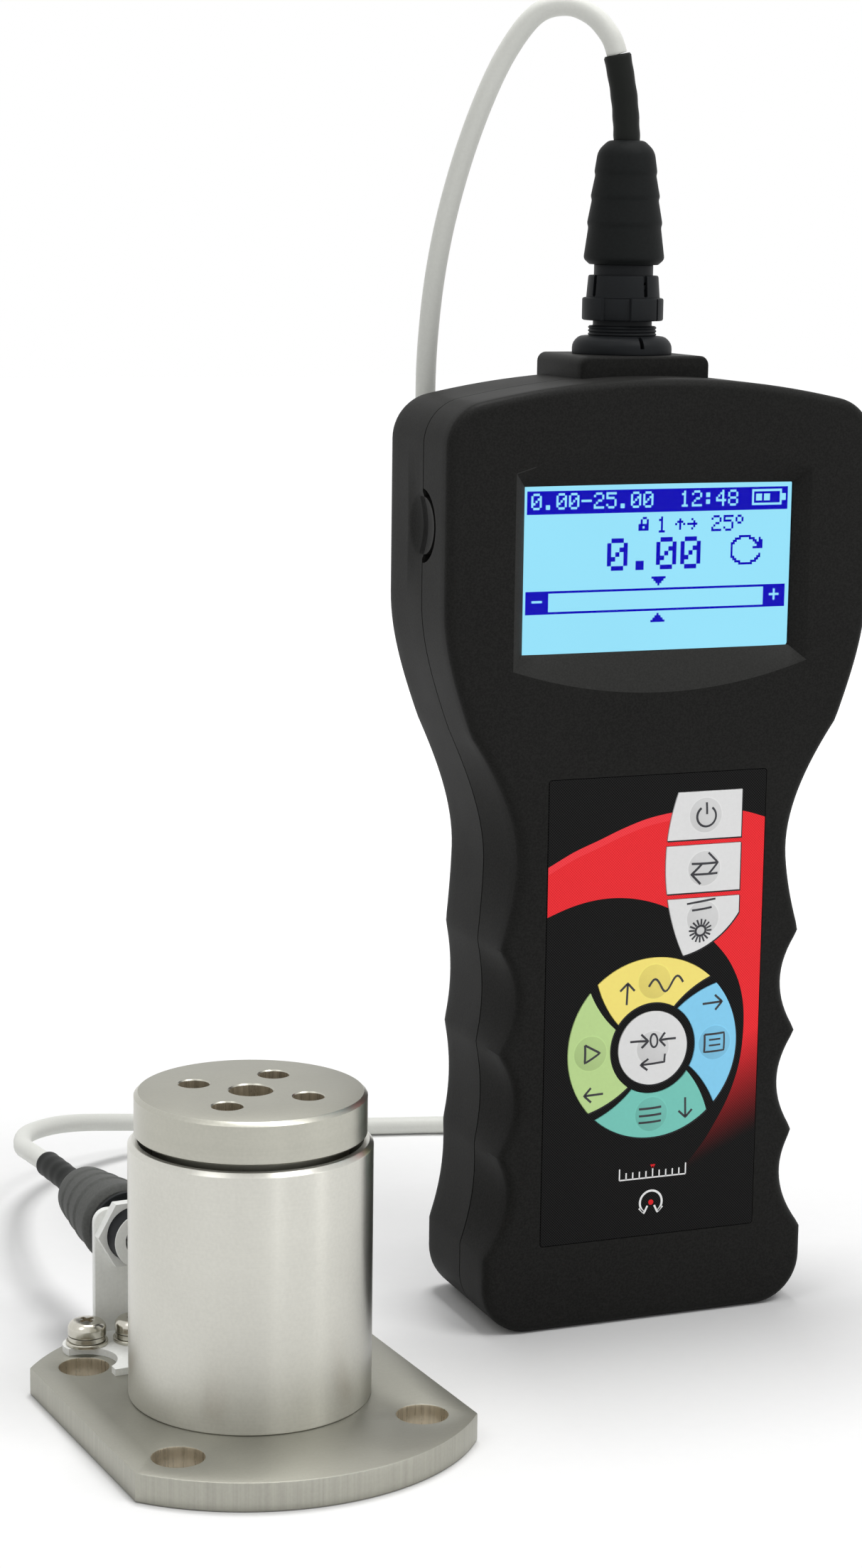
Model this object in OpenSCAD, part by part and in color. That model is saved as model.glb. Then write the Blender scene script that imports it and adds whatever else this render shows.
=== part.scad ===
/* [Indicator housing] */
// Width across the display end of the housing
head_w = 101; // [98:0.5:106]
// Width across the ridges of the grip
grip_w = 72.4; // [70:0.2:75]
// Width across the foot of the housing
foot_w = 78.6; // [76:0.2:84]
// Depth of the housing from face to back
housing_d = 38; // [36:0.5:44]
// Depth of the front shell, from the face to the parting line
split_y = 15; // [14:0.1:15.4]
// Thickness of the side walls
wall = 2.4; // [2:0.1:2.6]
// Thickness of the front face
face_t = 4; // [3.8:0.1:4.4]
// Radius of the front edge
front_fillet = 2.2; // [1:0.1:3]
// Radius of the rear edge
rear_fillet = 5; // [3:0.1:6]
// Radius of the upper corners
head_r = 10; // [8:0.5:12]
// Radius of the lower corners
foot_r = 11; // [9:0.5:12]
// Drop of the crowned top edge from the middle to the sides
crown_drop = 6.5; // [4:0.1:8]

/* [Finger grip] */
// Height of the lowest ridge above the table
ridge_z = 17.6; // [16:0.1:19]
// Distance from one ridge to the next
ridge_pitch = 23.3; // [22:0.1:24]
// Number of scallops between ridges
scallop_n = 3; // [2:1:3]
// Depth of a scallop at the parting line
scallop_sag = 1.2; // [0.6:0.1:1.6]
// Extra depth of a scallop at the face
scallop_flare = 3; // [0:0.1:3.5]
// Length of the hollow above the top ridge
neck_hollow = 47.5; // [40:0.5:52]
// Distance from the top of the keypad down to where the neck starts to widen
neck_low_drop = 21; // [18:0.5:23]
// Distance from the top of the keypad up to where the neck reaches the full width
neck_high_rise = 38; // [35:0.5:43]

/* [Display] */
// Width of the visible glass
glass_w = 64; // [60:0.5:65]
// Height of the visible glass
glass_h = 36; // [32:0.5:37]
// Distance from the top of the keypad to the middle of the glass
glass_rise = 45.2; // [44:0.1:48]
// Distance from the middle of the glass to the top of the housing
glass_margin = 40.8; // [39.5:0.1:44]
// Width of the bevelled recess around the glass
bezel_w = 70.4; // [69:0.1:72]
// Height of the straight sides of the recess
bezel_h = 42.3; // [41:0.1:43]
// Rise of the curved upper and lower edges of the recess
bezel_bulge = 5.8; // [2:0.1:6.5]
// Depth of the bevelled recess
bezel_depth = 3; // [2:0.1:3.2]
// Thickness of the display module
module_t = 2.5; // [2:0.1:3]
// Thickness of the backlight panel
backlight_t = 3; // [2:0.1:3.2]
// Thickness of a circuit board
board_t = 1.6; // [1.2:0.1:2]

/* [Keypad] */
// Width of the keypad overlay
overlay_w = 52.4; // [50:0.2:54]
// Height of the lower edge of the overlay
overlay_z = 20; // [19:0.1:21]
// Radius of the overlay corners
overlay_r = 2; // [1:0.1:4]
// Thickness of the overlay film
overlay_t = 0.6; // [0.4:0.05:0.7]
// Height of the overlay above the face
overlay_proud = 0.1; // [0.05:0.01:0.2]
// Thickness of the spacer film
spacer_t = 1; // [0.9:0.05:1.2]
// Thickness of the switch film
film_t = 0.4; // [0.2:0.05:0.5]
// Distance from the lower edge of the overlay to the middle of the ring of keys
ring_rise = 43.4; // [42:0.1:46]
// Outer radius of the ring of keys
ring_r = 20.6; // [20:0.1:20.9]
// Inner radius of the ring of keys
ring_in_r = 10.4; // [10:0.1:11]
// Radius of the round key in the middle
enter_r = 8.4; // [7.5:0.1:8.8]
// Half of the gap between ring keys, as an angle
gap_half_a = 3.4; // [3:0.1:4.5]
// Turn of each gap from its outer to its inner end
swirl_a = 13.5; // [0:0.5:16]
// Right edge of the column of keys
column_x = 20.3; // [19:0.1:21]
// Height of the column of keys above the ring
column_rise = 36.8; // [36.6:0.1:39]
// Distance from the column of keys to the top of the overlay
column_margin = 4.2; // [3:0.1:6]
// Height of one key in the column
row_h = 10.7; // [10:0.1:10.8]
// Gap between the keys of the column
row_gap = 1.3; // [1:0.1:1.6]
// Gap around each key
key_gap = 0.12; // [0.08:0.01:0.2]
// Height of a key above the overlay
key_proud = 0.2; // [0.1:0.05:0.5]
// Travel of a key
key_travel = 0.3; // [0.2:0.05:0.32]
// Radius of the embossed dome on a key
dome_r = 4; // [3:0.1:4.2]
// Height of the embossed dome on a key
dome_h = 0.7; // [0.3:0.05:1]
// Distance of the ring domes from the middle of the ring
dome_ring_r = 15.2; // [14.6:0.1:16]

/* [Connector] */
// Width of the connector boss on the housing
boss_w = 30.6; // [29:0.2:33]
// Height of the boss above the housing
boss_h = 4.2; // [3.5:0.1:5]
// Depth of the boss from front to back
boss_d = 25; // [24.4:0.1:25.4]
// Distance of the connector axis behind the face
socket_y = 25; // [24.8:0.1:25.3]
// Radius of the socket flange
flange_r = 11; // [10.5:0.1:11.8]
// Height of the socket flange
flange_h = 3.9; // [3:0.1:4.5]
// Outer radius of the socket barrel
barrel_r = 6.5; // [6.3:0.05:6.7]
// Height of the socket barrel above the flange
barrel_h = 9.9; // [9.6:0.1:10.4]
// Radius of the socket thread
thread_r = 7.6; // [7.5:0.05:7.9]
// Outer radius of the coupling ring at its upper end
coupling_r = 8.1; // [8:0.05:8.5]
// Height of the coupling ring
coupling_h = 9.8; // [9.6:0.1:10.2]
// Running clearance between the coupling ring and the parts inside it
coupling_clear = 0.08; // [0.05:0.01:0.1]
// Turn of the coupling ring from locked to free
coupling_turn = 60; // [45:1:60]
// Largest radius of a cable boot
boot_r = 8.9; // [8:0.1:9.5]
// Radius of the thin end of a cable boot
boot_tip_r = 6.2; // [5.5:0.1:6.6]
// Length of a cable boot
boot_l = 26.7; // [24:0.1:29]
// Radius of the heat-shrink sleeves
sleeve_r = 2.9; // [2.6:0.05:3.2]

/* [Sensor] */
// Distance from the circle of the mounting holes to the rim of the base plate
plate_margin = 10.5; // [10:0.1:12]
// Depth cut off the rim of the base plate at each of its two flats
plate_flat_depth = 11; // [9:0.1:12]
// Thickness of the base plate
plate_t = 6; // [5:0.1:7]
// Distance from the sensor cover to the circle of the mounting holes
plate_reach = 12.5; // [12.3:0.1:13.5]
// Diameter of a mounting hole
plate_hole_d = 10.5; // [9:0.1:10.6]
// Outer diameter of the sensor cover
cover_d = 50; // [46:0.1:56]
// Thickness of the sensor cover
cover_wall = 2; // [1.5:0.1:2.5]
// Gap between the sensor cover and the measuring disk above it
cover_gap = 1.2; // [1:0.1:4]
// Depth of the measuring disk's edge inside the cover's
disk_inset = 1.3; // [1:0.1:2]
// Thickness of the measuring disk
disk_t = 8.8; // [8:0.1:9.4]
// Height of the sensor
sensor_h = 70; // [69.8:0.1:72]
// Diameter of the circle of holes in the measuring disk
disk_pcd = 25; // [24:0.1:27]
// Diameter of a hole in the measuring disk
disk_hole_d = 6.4; // [5:0.1:6.6]
// Diameter of the pilot bore in the measuring disk
pilot_d = 9; // [8:0.1:10]
// Depth of the pilot bore
pilot_depth = 9; // [6:0.1:10]
// Width of the square measuring column
column_w = 16; // [14:0.1:17]
// Diameter of the bore in the measuring column
column_bore_d = 10; // [8:0.1:11]

/* [Sensor connector] */
// Distance of the cable axis to the left of the sensor axis, as a share of the cover's radius
outlet_share = 0.44; // [0.42:0.01:0.46]
// Height of the cable axis above the table
outlet_z = 29.5; // [28.5:0.1:31]
// Distance of the bracket's front face behind the sensor cover
bracket_reach = 15.2; // [15.1:0.1:16]
// Thickness of the bracket sheet
bracket_t = 1.5; // [1.2:0.1:1.8]
// Width of the upright of the bracket
bracket_w = 16; // [15.6:0.1:16.4]
// Height of the bracket above the cable axis
bracket_rise = 5.5; // [4:0.1:9]

/* [Layout] */
// Distance from the sensor axis to the middle of the indicator
indicator_x = 102; // [98:0.5:110]
// Distance of the indicator's face behind the sensor axis
indicator_y = 25.5; // [22:0.5:30]
// Turn of the sensor on the table
sensor_turn = 5; // [0:0.5:8]
// Diameter of the cable
cord_d = 4.5; // [4:0.1:4.8]

/* [Hidden] */

// Overrun of cuts, seat clearance and the smallest chamfer
cut = 0.5;
seat = 0.05;
edge = 0.4;
$fn = 64;

// Heights of the keypad, display and housing, from the ring of keys up
ring_z = overlay_z + ring_rise;
column_z = ring_z + ring_r + column_rise;
overlay_top_z = column_z + column_margin;
overlay_h = overlay_top_z - overlay_z;
neck_low_z = overlay_top_z - neck_low_drop;
neck_high_z = overlay_top_z + neck_high_rise;
glass_z = overlay_top_z + glass_rise;
housing_h = glass_z + glass_margin;

// Housing outline
head_half = head_w / 2;
grip_half = grip_w / 2;
foot_half = foot_w / 2;
top_ridge_z = ridge_z + ridge_pitch * scallop_n;
corner_x = head_half - head_r;
crown_slope_a = atan(2 * crown_drop * corner_x / (head_half * head_half));
corner_end_x = corner_x + head_r * sin(crown_slope_a);
corner_z = top_z(corner_end_x) - head_r * cos(crown_slope_a);
foot_x = foot_half - foot_r;
foot_steps = 6;
scallop_steps = 6;
neck_steps = 14;
corner_steps = 6;
top_steps = 6;
fillet_steps = 4;
// Width left flat in the middle of the top edge, as a share of the half width
flat_share = 0.1;
parting_groove = 0.3;
lip_h = 1.4;
lip_t = 1;
lip_gap = 0.1;

// Housing screws: posts, and their places as seen from the front
post_r = 4;
post_bore_r = 1.55;
screw_r = 1.5;
screw_head_r = 2.75;
screw_head_h = 2;
head_recess_r = 3;
head_recess = 6;
screw_tip = 2.5;
neck_post_inset = 2.7;
neck_post_rise = 7;
neck_post_x = grip_half - neck_post_inset;
neck_post_z = overlay_top_z + neck_post_rise;
posts = [[corner_x, corner_z], [-corner_x, corner_z], [neck_post_x, neck_post_z],
         [-neck_post_x, neck_post_z], [foot_x, foot_r], [-foot_x, foot_r]];

// Release tongues in the sides of the head
notch_r = 8;
tongue_r = 6.2;
notch_rise = 9.1;
notch_z = glass_z + notch_rise;
notch_y = split_y + edge;
tongue_drop = 0.2;
dish_r = 21;
dish_depth = 1.3;

// Display parts behind the face
pane_t = face_t - bezel_depth;
pane_lap = 2.5;
module_lap = 5;
board_y = face_t + module_t + backlight_t;
board_edge = 8;
board_head_w = glass_w + 2 * module_lap;
board_grip_w = grip_w - 2 * board_edge;
board_low_z = foot_r + post_r + board_edge;
board_step_z = neck_post_z + post_r + board_edge;
board_top_z = glass_z + glass_h / 2;
arc_steps = 8;
bezel_steps = 5;
// Crown left on the inner edge of the recess, as a share of the outer one
crown_share = 0.08;

// Keypad layers and key places
keypad_depth = overlay_t - overlay_proud + spacer_t + film_t;
spacer_y = overlay_t - overlay_proud;
film_y = spacer_y + spacer_t;
overlay_gap = 0.15;
snap_h = 0.35;
snap_r = 4;
lip_w = 0.4;
key_lip_t = 0.3;
lip_room = 0.25;
// Curved left edge of the column of keys, and rounded lower end of the backlight key
column_arc_r = 48;
column_arc_offset = [29.7, -15.8];
column_arc_x = column_x + column_arc_offset[0];
column_arc_z = column_z + column_arc_offset[1];
tip_r = 20.9;
tip_offset = [-17.5, -16.4];
tip_x = column_x + tip_offset[0];
tip_z = column_z + tip_offset[1];
dome_steps = 4;
dome_inset = 8.9;
dome_x = column_x - dome_inset;
dome_drop = 4.6;

// Battery pack in the grip
cell_r = 7.2;
cell_n = 3;
cell_pitch = 15;
cell_l = 50;
pack_z = board_low_z + board_edge;

// Connector heights, from the top of the boss up
boss_z = housing_h + boss_h;
boss_front_y = socket_y - boss_d / 2 - edge;
boss_round = 2;
// Width of the cut across the middle of a rounded edge, as a share of its radius
round_share = 0.3;
flange_top_z = boss_z + flange_h;
thread_h = 2.2;
thread_ridge = 0.35;
thread_n = 3;
barrel_top_z = flange_top_z + barrel_h;
barrel_bore_r = 5.2;
socket_tail = 13;
nut_h = 2.6;
nut_r = 9.6;
insulator_h = 16;
pin_n = 6;
pin_circle_r = 3;
pin_r = 0.5;
pin_hole_r = 0.65;
pin_rise = 8.5;
pin_tail = 3;
lead_r = 1.4;
lead_drop = 14;
lug_n = 2;
lug_r = 0.8;
lug_h = 0.8;
lug_rise = 4.6;
lug_room = 0.1;
// Coupling ring and plug
coupling_lift = 3.4;
coupling_z = flange_top_z + coupling_lift;
pad_h = 4.9;
pad_t = 0.85;
pad_n = 3;
pad_shares = [0.14, 0.64];
slot_w = 1;
slot_h = 4.8;
slot_n = 4;
slot_share = 0.149;
slot_depth = 0.6;
coupling_taper = 0.4;
coupling_lip = 1.5;
collar_r = 7.2;
collar_t = 1.1;
collar_gap = 0.2;
core_gap = 0.1;
core_wall = 0.8;
core_l = 6;
neck_l = 4.3;
stem_r = 4.6;
stem_l = 17;
stem_bore_r = 2.4;
collar_z = barrel_top_z + collar_gap;
neck_z = collar_z + collar_t;
boot_z = neck_z + neck_l;
// Boot profile: places along the boot and radii between tip and base, as shares
boot_place_shares = [0, 0.06, 0.3, 0.32, 0.52, 0.54, 0.72, 0.74, 0.92, 1];
boot_radius_shares = [0.55, 1, 0.66, 0.78, 0.42, 0.52, 0.18, 0.26, 0, -0.85];
boot_mouth = 0.5;

// Cable: points along its way, counted from the sensor axis at table height
sleeve_points = [[102, 50.5, 246], [102, 50.5, 256], [101.9, 50.5, 262], [101.2, 50.6, 270.5],
                 [99.5, 51, 279.5]];
cord_points = [[99.5, 51, 279.5], [98, 51.6, 283.5], [94.5, 53.5, 287.8], [89.5, 56, 289.8], [84, 59.5, 288],
               [79, 63, 280.5], [74.5, 66, 269.5], [70.5, 69.5, 255], [67.5, 72.5, 239], [66, 75, 222],
               [66, 77, 203], [68.5, 80, 175], [76, 84, 140], [86, 90, 100], [98, 98, 60], [112, 110, 30],
               [127, 124, 11], [137, 139, 3.5], [138, 154, 2.4], [129, 167, 2.4], [114, 174.5, 2.4],
               [96, 179.5, 2.4], [75, 184, 3], [50, 186, 5.5], [25, 182, 9.5], [6, 171, 14], [-8, 153, 18],
               [-15.5, 129, 22.5], [-18.5, 108, 27], [-18.8, 92, 29.2]];
sensor_sleeve_points = [[-18.8, 92, 29.2], [-18.1, 83, 29.5], [-17.3, 74, 29.5], [-16.5, 64, 29.5]];
cord_steps = 2;
cord_sides = 10;

// Sensor parts
cover_r = cover_d / 2;
plate_pcd = cover_d + 2 * plate_reach;
plate_d = plate_pcd + 2 * plate_margin;
plate_flats = plate_d - 2 * plate_flat_depth;
hole_place = plate_pcd / 2 * [-cos(45), sin(45)];
cover_in_r = cover_r - cover_wall;
disk_r = cover_r - disk_inset;
disk_low_z = sensor_h - disk_t;
cover_top_z = disk_low_z - cover_gap;
chamfer = 0.8;
disk_hole_depth = 15;
spigot_inset = 5;
spigot_r = cover_r - spigot_inset;
spigot_h = 10;
element_flange_t = 6;
element_screw_n = 4;
element_screw_inset = 8;
element_screw_circle_r = cover_r - element_screw_inset;
element_screw_r = 2.5;
element_head_r = 4.6;
element_head_h = 2.4;
element_screw_l = 10.5;
gauge_w = 5;
gauge_h = 8;
gauge_t = 0.25;
gauge_n = 4;
gauge_z = 28;
plate_hole_n = 4;
disk_hole_n = 4;

// Bracket and the sensor's end of the cable
outlet_x = outlet_share * cover_r;
bracket_y = cover_r + bracket_reach;
bracket_top_z = outlet_z + bracket_rise;
bracket_r = 3;
bracket_hole_r = 6.1;
bracket_back_y = bracket_y + bracket_t;
foot_ear_r = 5.2;
foot_l = 23.2;
foot_front_y = bracket_y - foot_l;
foot_clear = 0.5;
hole_clear = 1.8;
screw_offsets = [[4, 9], [-1.6, -6.6]];
screw_places = [hole_place + screw_offsets[0], [-outlet_x, bracket_y] + screw_offsets[1]];
bracket_screw_r = 2.5;
bracket_head_r = 4.1;
bracket_head_h = 3.2;
bracket_screw_l = 8;
washer_r = 4.5;
washer_t = 0.8;
spring_washer_r = 4;
spring_washer_t = 1.2;
spring_gap = 1;
recess_w = 1;
recess_l = 4;
recess_depth = 1.4;
shell_r = 6;
shell_front = 7.2;
shell_flange_r = 8;
shell_flange_t = 1;
shell_neck_l = 1.5;
connector_nut_t = 2.5;
connector_nut_r = 8;
shell_bore_r = 3.6;
sensor_lead_r = 2;
grommet_r = 3.1;
grommet_inset = 7.5;
grommet_y = cover_r - grommet_inset;
grommet_l = 7;
lead_inset = 11;
lead_start_y = cover_r - lead_inset;
boot_y = bracket_back_y + shell_flange_t + shell_neck_l;

// Shape functions
function smooth(t) = let(s = min(max(t, 0), 1)) s * s * (3 - 2 * s);
function top_z(x) = housing_h - crown_drop * pow(x / head_half, 2);
function side_x(z) =
    grip_half + (head_half - grip_half) * smooth((z - neck_low_z) / (neck_high_z - neck_low_z));
function ridge_x(i) = i == 0 ? foot_half : grip_half;

// Right edge of the housing from below, each point as [x, z, share of a scallop's depth]
foot_edge = [for (i = [0:foot_steps]) let(a = 90 * i / foot_steps)
             [foot_x + foot_r * sin(a), foot_r - foot_r * cos(a), 0]];
scallop_edge = [for (k = [0:scallop_n - 1], i = [0:scallop_steps - 1]) let(t = i / scallop_steps)
                [ridge_x(k) + (ridge_x(k + 1) - ridge_x(k)) * t, ridge_z + ridge_pitch * (k + t),
                 4 * t * (1 - t)]];
neck_edge = [for (i = [0:neck_steps]) let(z = top_ridge_z + (neck_high_z - top_ridge_z) * i / neck_steps,
                                          t = min((z - top_ridge_z) / neck_hollow, 1))
             [side_x(z), z, 4 * t * (1 - t)]];
corner_edge = [for (i = [0:corner_steps]) let(a = (90 - crown_slope_a) * i / corner_steps)
               [corner_x + head_r * cos(a), corner_z + head_r * sin(a), 0]];
top_edge = [for (i = [1:top_steps]) let(x = corner_end_x * (1 - (1 - flat_share) * i / top_steps))
            [x, top_z(x), 0]];
housing_edge = concat(foot_edge, scallop_edge, neck_edge, corner_edge, top_edge);

function edge_normal(p, i) =
    let(a = i == 0 ? [-p[0][0], p[0][1]] : p[i - 1],
        b = i == len(p) - 1 ? [-p[i][0], p[i][1]] : p[i + 1],
        t = [b[0] - a[0], b[1] - a[1]])
    [t[1], -t[0]] / norm(t);
// The edge moved inwards by d at depth y
function housing_side(y, d) =
    [for (i = [0:len(housing_edge) - 1])
        let(p = housing_edge[i], n = edge_normal(housing_edge, i),
            dent = p[2] * (scallop_sag + scallop_flare * max(0, 1 - y / split_y)))
        [p[0] - dent - d * n[0], p[1] - d * n[1]]];
// A closed ring from the points of its right half
function mirror_ring(side, y) =
    concat([for (p = side) [p[0], y, p[1]]],
           [for (i = [len(side) - 1:-1:0]) [-side[i][0], y, side[i][1]]]);
function housing_ring(y, d) = mirror_ring(housing_side(y, d), y);
// Display recess at depth y: straight sides, and upper and lower edges curved outwards, less so further in
function bezel_side(w, h, bulge) =
    let(xs = [for (i = [0:bezel_steps]) w / 2 * (flat_share + (1 - flat_share) * i / bezel_steps)])
    concat([for (x = xs) [x, glass_z - h / 2 - bulge * (1 - pow(2 * x / w, 2))]],
           [for (i = [bezel_steps:-1:0]) [xs[i], glass_z + h / 2 + bulge * (1 - pow(2 * xs[i] / w, 2))]]);
function bezel_ring(y) = let(s = 1 - y / bezel_depth)
    mirror_ring(bezel_side(glass_w + (bezel_w - glass_w) * s, glass_h + (bezel_h - glass_h) * s,
                           bezel_bulge * (s + (1 - s) * crown_share)), y);

// Solid through a list of rings that are mirrored left to right
module loft(rings) {
    n = len(rings[0]);
    last = len(rings) - 1;
    sides = [for (k = [0:last - 1], i = [0:n - 1]) let(j = (i + 1) % n)
             each [[k * n + i, k * n + j, (k + 1) * n + j], [k * n + i, (k + 1) * n + j, (k + 1) * n + i]]];
    front = [for (i = [0:n / 2 - 2]) [n - 1 - i, n - 2 - i, i + 1, i]];
    back = [for (i = [0:n / 2 - 2]) [for (v = [i, i + 1, n - 2 - i, n - 1 - i]) last * n + v]];
    polyhedron([for (r = rings) each r], concat(sides, front, back), convexity = 6);
}

// Extrudes a shape drawn as seen from the front, from depth y inwards by t
module slab(y, t) {
    translate([0, y + t, 0]) rotate([90, 0, 0]) linear_extrude(t) children();
}

// Turns a profile drawn in radius and depth about an axis that runs backwards
module turned_back() {
    rotate([-90, 0, 0]) rotate_extrude() children();
}

module rounded_rect(w, z0, z1, r) {
    for (s = [-1, 1], z = [z0 + r, z1 - r]) translate([s * (w / 2 - r), z]) circle(r);
    translate([-w / 2, z0 + r]) square([w, z1 - z0 - 2 * r]);
    translate([-w / 2 + r, z0]) square([w - 2 * r, z1 - z0]);
}

module at_indicator() {
    translate([indicator_x, indicator_y, 0]) children();
}

module at_socket() {
    translate([indicator_x, indicator_y + socket_y, 0]) children();
}

module at_sensor() {
    rotate([0, 0, sensor_turn]) children();
}

module at_outlet(y) {
    at_sensor() translate([-outlet_x, y, outlet_z]) children();
}

// Boss for the connector, as seen from the front, from below the top edge up
module boss_shape(low_z) {
    for (s = [-1, 1]) translate([s * (boss_w / 2 - boss_round), boss_z - boss_round]) circle(boss_round);
    translate([-boss_w / 2 + boss_round, low_z]) square([boss_w - 2 * boss_round, boss_z - low_z]);
    translate([-boss_w / 2, low_z]) square([boss_w, boss_z - boss_round - low_z]);
}

module side_cut(r, x0, x1, y, z) {
    for (s = [-1, 1]) scale([s, 1, 1]) translate([x0, y, z]) rotate([0, 90, 0]) cylinder(r = r, h = x1 - x0);
}

module front_housing() color([0.13, 0.13, 0.13]) at_indicator() difference() {
    union() {
        difference() {
            union() {
                loft(concat(
                    [for (i = [0:fillet_steps]) let(a = 90 * i / fillet_steps)
                        housing_ring(front_fillet * (1 - cos(a)), front_fillet * (1 - sin(a)))],
                    [housing_ring(split_y - parting_groove, 0), housing_ring(split_y, parting_groove)]));
                slab(boss_front_y, split_y - boss_front_y) boss_shape(housing_h - 2 * wall);
            }
            loft([housing_ring(face_t, wall), housing_ring(split_y + cut, wall)]);
        }
        for (p = posts)
            translate([p[0], face_t - cut, p[1]]) turned_back() square([post_r, split_y - face_t + cut]);
    }
    loft([bezel_ring(-cut), bezel_ring(bezel_depth)]);
    slab(-cut, face_t + 2 * cut) square_at_glass(0);
    slab(bezel_depth, pane_t + cut) square_at_glass(pane_lap + seat);
    slab(-cut, keypad_depth + cut)
        rounded_rect(overlay_w + 2 * overlay_gap, overlay_z - overlay_gap,
                     overlay_z + overlay_h + overlay_gap, overlay_r);
    side_cut(notch_r, head_half - wall - cut, head_half + cut, notch_y, notch_z);
    for (p = posts)
        translate([p[0], screw_tip + edge, p[1]]) turned_back() square([post_bore_r, split_y]);
}

module square_at_glass(lap) {
    translate([0, glass_z]) square([glass_w + 2 * lap, glass_h + 2 * lap], center = true);
}

module rear_housing() color([0.15, 0.15, 0.15]) at_indicator() difference() {
    union() {
        difference() {
            union() {
                loft(concat(
                    [housing_ring(split_y, parting_groove), housing_ring(split_y + parting_groove, 0)],
                    [for (i = [0:fillet_steps]) let(a = 90 * i / fillet_steps)
                        housing_ring(housing_d - rear_fillet * (1 - sin(a)), rear_fillet * (1 - cos(a)))]));
                slab(split_y, boss_front_y + boss_d - split_y) boss_shape(housing_h - 2 * wall);
            }
            loft([housing_ring(split_y - cut, wall), housing_ring(housing_d - wall, wall)]);
        }
        difference() {
            loft([housing_ring(split_y - lip_h, wall + lip_gap), housing_ring(split_y + lip_h, wall + lip_gap),
                  housing_ring(split_y + lip_h + lip_t, wall - lip_gap)]);
            loft([housing_ring(split_y - lip_h - cut, wall + lip_gap + lip_t),
                  housing_ring(split_y + lip_h + lip_t + cut, wall + lip_gap + lip_t)]);
        }
        for (p = posts)
            translate([p[0], split_y, p[1]]) turned_back() square([post_r, housing_d - wall + cut - split_y]);
        intersection() {
            side_cut(tongue_r, head_half - wall - lip_t, head_half - tongue_drop, notch_y, notch_z);
            translate([-head_w, 0, 0]) cube([2 * head_w, split_y + lip_h, housing_h]);
        }
    }
    for (p = posts) {
        translate([p[0], split_y - cut, p[1]]) turned_back() square([post_bore_r, housing_d]);
        translate([p[0], housing_d - head_recess, p[1]]) turned_back() square([head_recess_r, housing_d]);
    }
    for (s = [-1, 1])
        translate([s * (head_half + dish_r - dish_depth), notch_y, notch_z]) sphere(dish_r);
    translate([0, socket_y, boss_z - boss_w]) {
        cylinder(r = thread_r + seat, h = 2 * boss_w);
        cylinder(r = nut_r + lip_gap, h = top_z(nut_r) - wall - boss_z + boss_w);
    }
}

module display_window() color([0.72, 0.9, 0.95, 0.4]) at_indicator()
    slab(bezel_depth, pane_t) square_at_glass(pane_lap);

module lcd_module() color([0.6, 0.88, 0.98]) at_indicator() slab(face_t, module_t) square_at_glass(module_lap);

module backlight_panel() color([0.93, 0.94, 0.92]) at_indicator()
    slab(face_t + module_t, backlight_t) square_at_glass(pane_lap);

module main_board() color([0.1, 0.4, 0.22]) at_indicator() slab(board_y, board_t) {
    translate([-board_grip_w / 2, board_low_z]) square([board_grip_w, board_top_z - board_low_z]);
    translate([-board_head_w / 2, board_step_z]) square([board_head_w, board_top_z - board_step_z]);
}

// Outline of one sector of the key ring, made larger by g, about the middle direction a
module sector(a, g) {
    function gap_a(r) = swirl_a * (ring_r - r) / (ring_r - ring_in_r);
    function grow_a(r) = g / r * 180 / PI;
    r0 = ring_in_r - g;
    r1 = ring_r + g;
    n = 2 * arc_steps;
    polygon(concat(
        [for (i = [0:n]) let(b = a - 45 + gap_half_a - grow_a(r1)
                                 + (90 - 2 * gap_half_a + 2 * grow_a(r1)) * i / n) r1 * [cos(b), sin(b)]],
        [for (i = [1:arc_steps]) let(r = r1 + (r0 - r1) * i / arc_steps,
                                     b = a + 45 - gap_half_a + grow_a(r) + gap_a(r)) r * [cos(b), sin(b)]],
        [for (i = [1:n]) let(b = a + 45 - gap_half_a + grow_a(r0) + gap_a(r0)
                                 - (90 - 2 * gap_half_a + 2 * grow_a(r0)) * i / n) r0 * [cos(b), sin(b)]],
        [for (i = [1:arc_steps - 1]) let(r = r0 + (r1 - r0) * i / arc_steps,
                                         b = a - 45 + gap_half_a - grow_a(r) + gap_a(r))
            r * [cos(b), sin(b)]]));
}

// Outline of key k of the column, counted from the top, made larger by g
module column_key(k, g) {
    top = column_z - k * (row_h + row_gap);
    low = k == 2 ? top - 2 * row_h : top - row_h;
    intersection() {
        translate([0, low - g]) square([column_x + g, top - low + 2 * g]);
        translate([column_arc_x, column_arc_z]) circle(column_arc_r + g, $fn = 180);
        if (k == 2) translate([tip_x, tip_z]) circle(tip_r + g, $fn = 96);
    }
}

KEYS = ["on_off", "unit", "backlight", "print", "function", "start", "menu", "enter"];
function key_dome(k) =
    k < 2 ? [dome_x, column_z - k * (row_h + row_gap) - row_h / 2] :
    k == 2 ? [dome_x, column_z - k * (row_h + row_gap) - dome_drop] :
    k == 7 ? [0, ring_z] :
    [dome_ring_r * cos(90 * (k - 3)), ring_z + dome_ring_r * sin(90 * (k - 3))];

module key_shape(k, g) {
    if (k < 3) column_key(k, g);
    else if (k == 7) translate([0, ring_z]) circle(enter_r + g);
    else translate([0, ring_z]) sector(90 * (k - 3), g);
}

// Low dome of radius r and height h that bulges towards the front
module dome(r, h) {
    ball_r = (r * r + h * h) / (2 * h);
    a = asin(r / ball_r);
    turned_back() polygon(concat([[0, 0]], [for (i = [0:dome_steps]) let(b = a * (1 - i / dome_steps))
                                            [ball_r * sin(b), ball_r - h - ball_r * cos(b)]]));
}

module at_dome(k, y) {
    translate([key_dome(k)[0], y, key_dome(k)[1]]) children();
}

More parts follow.
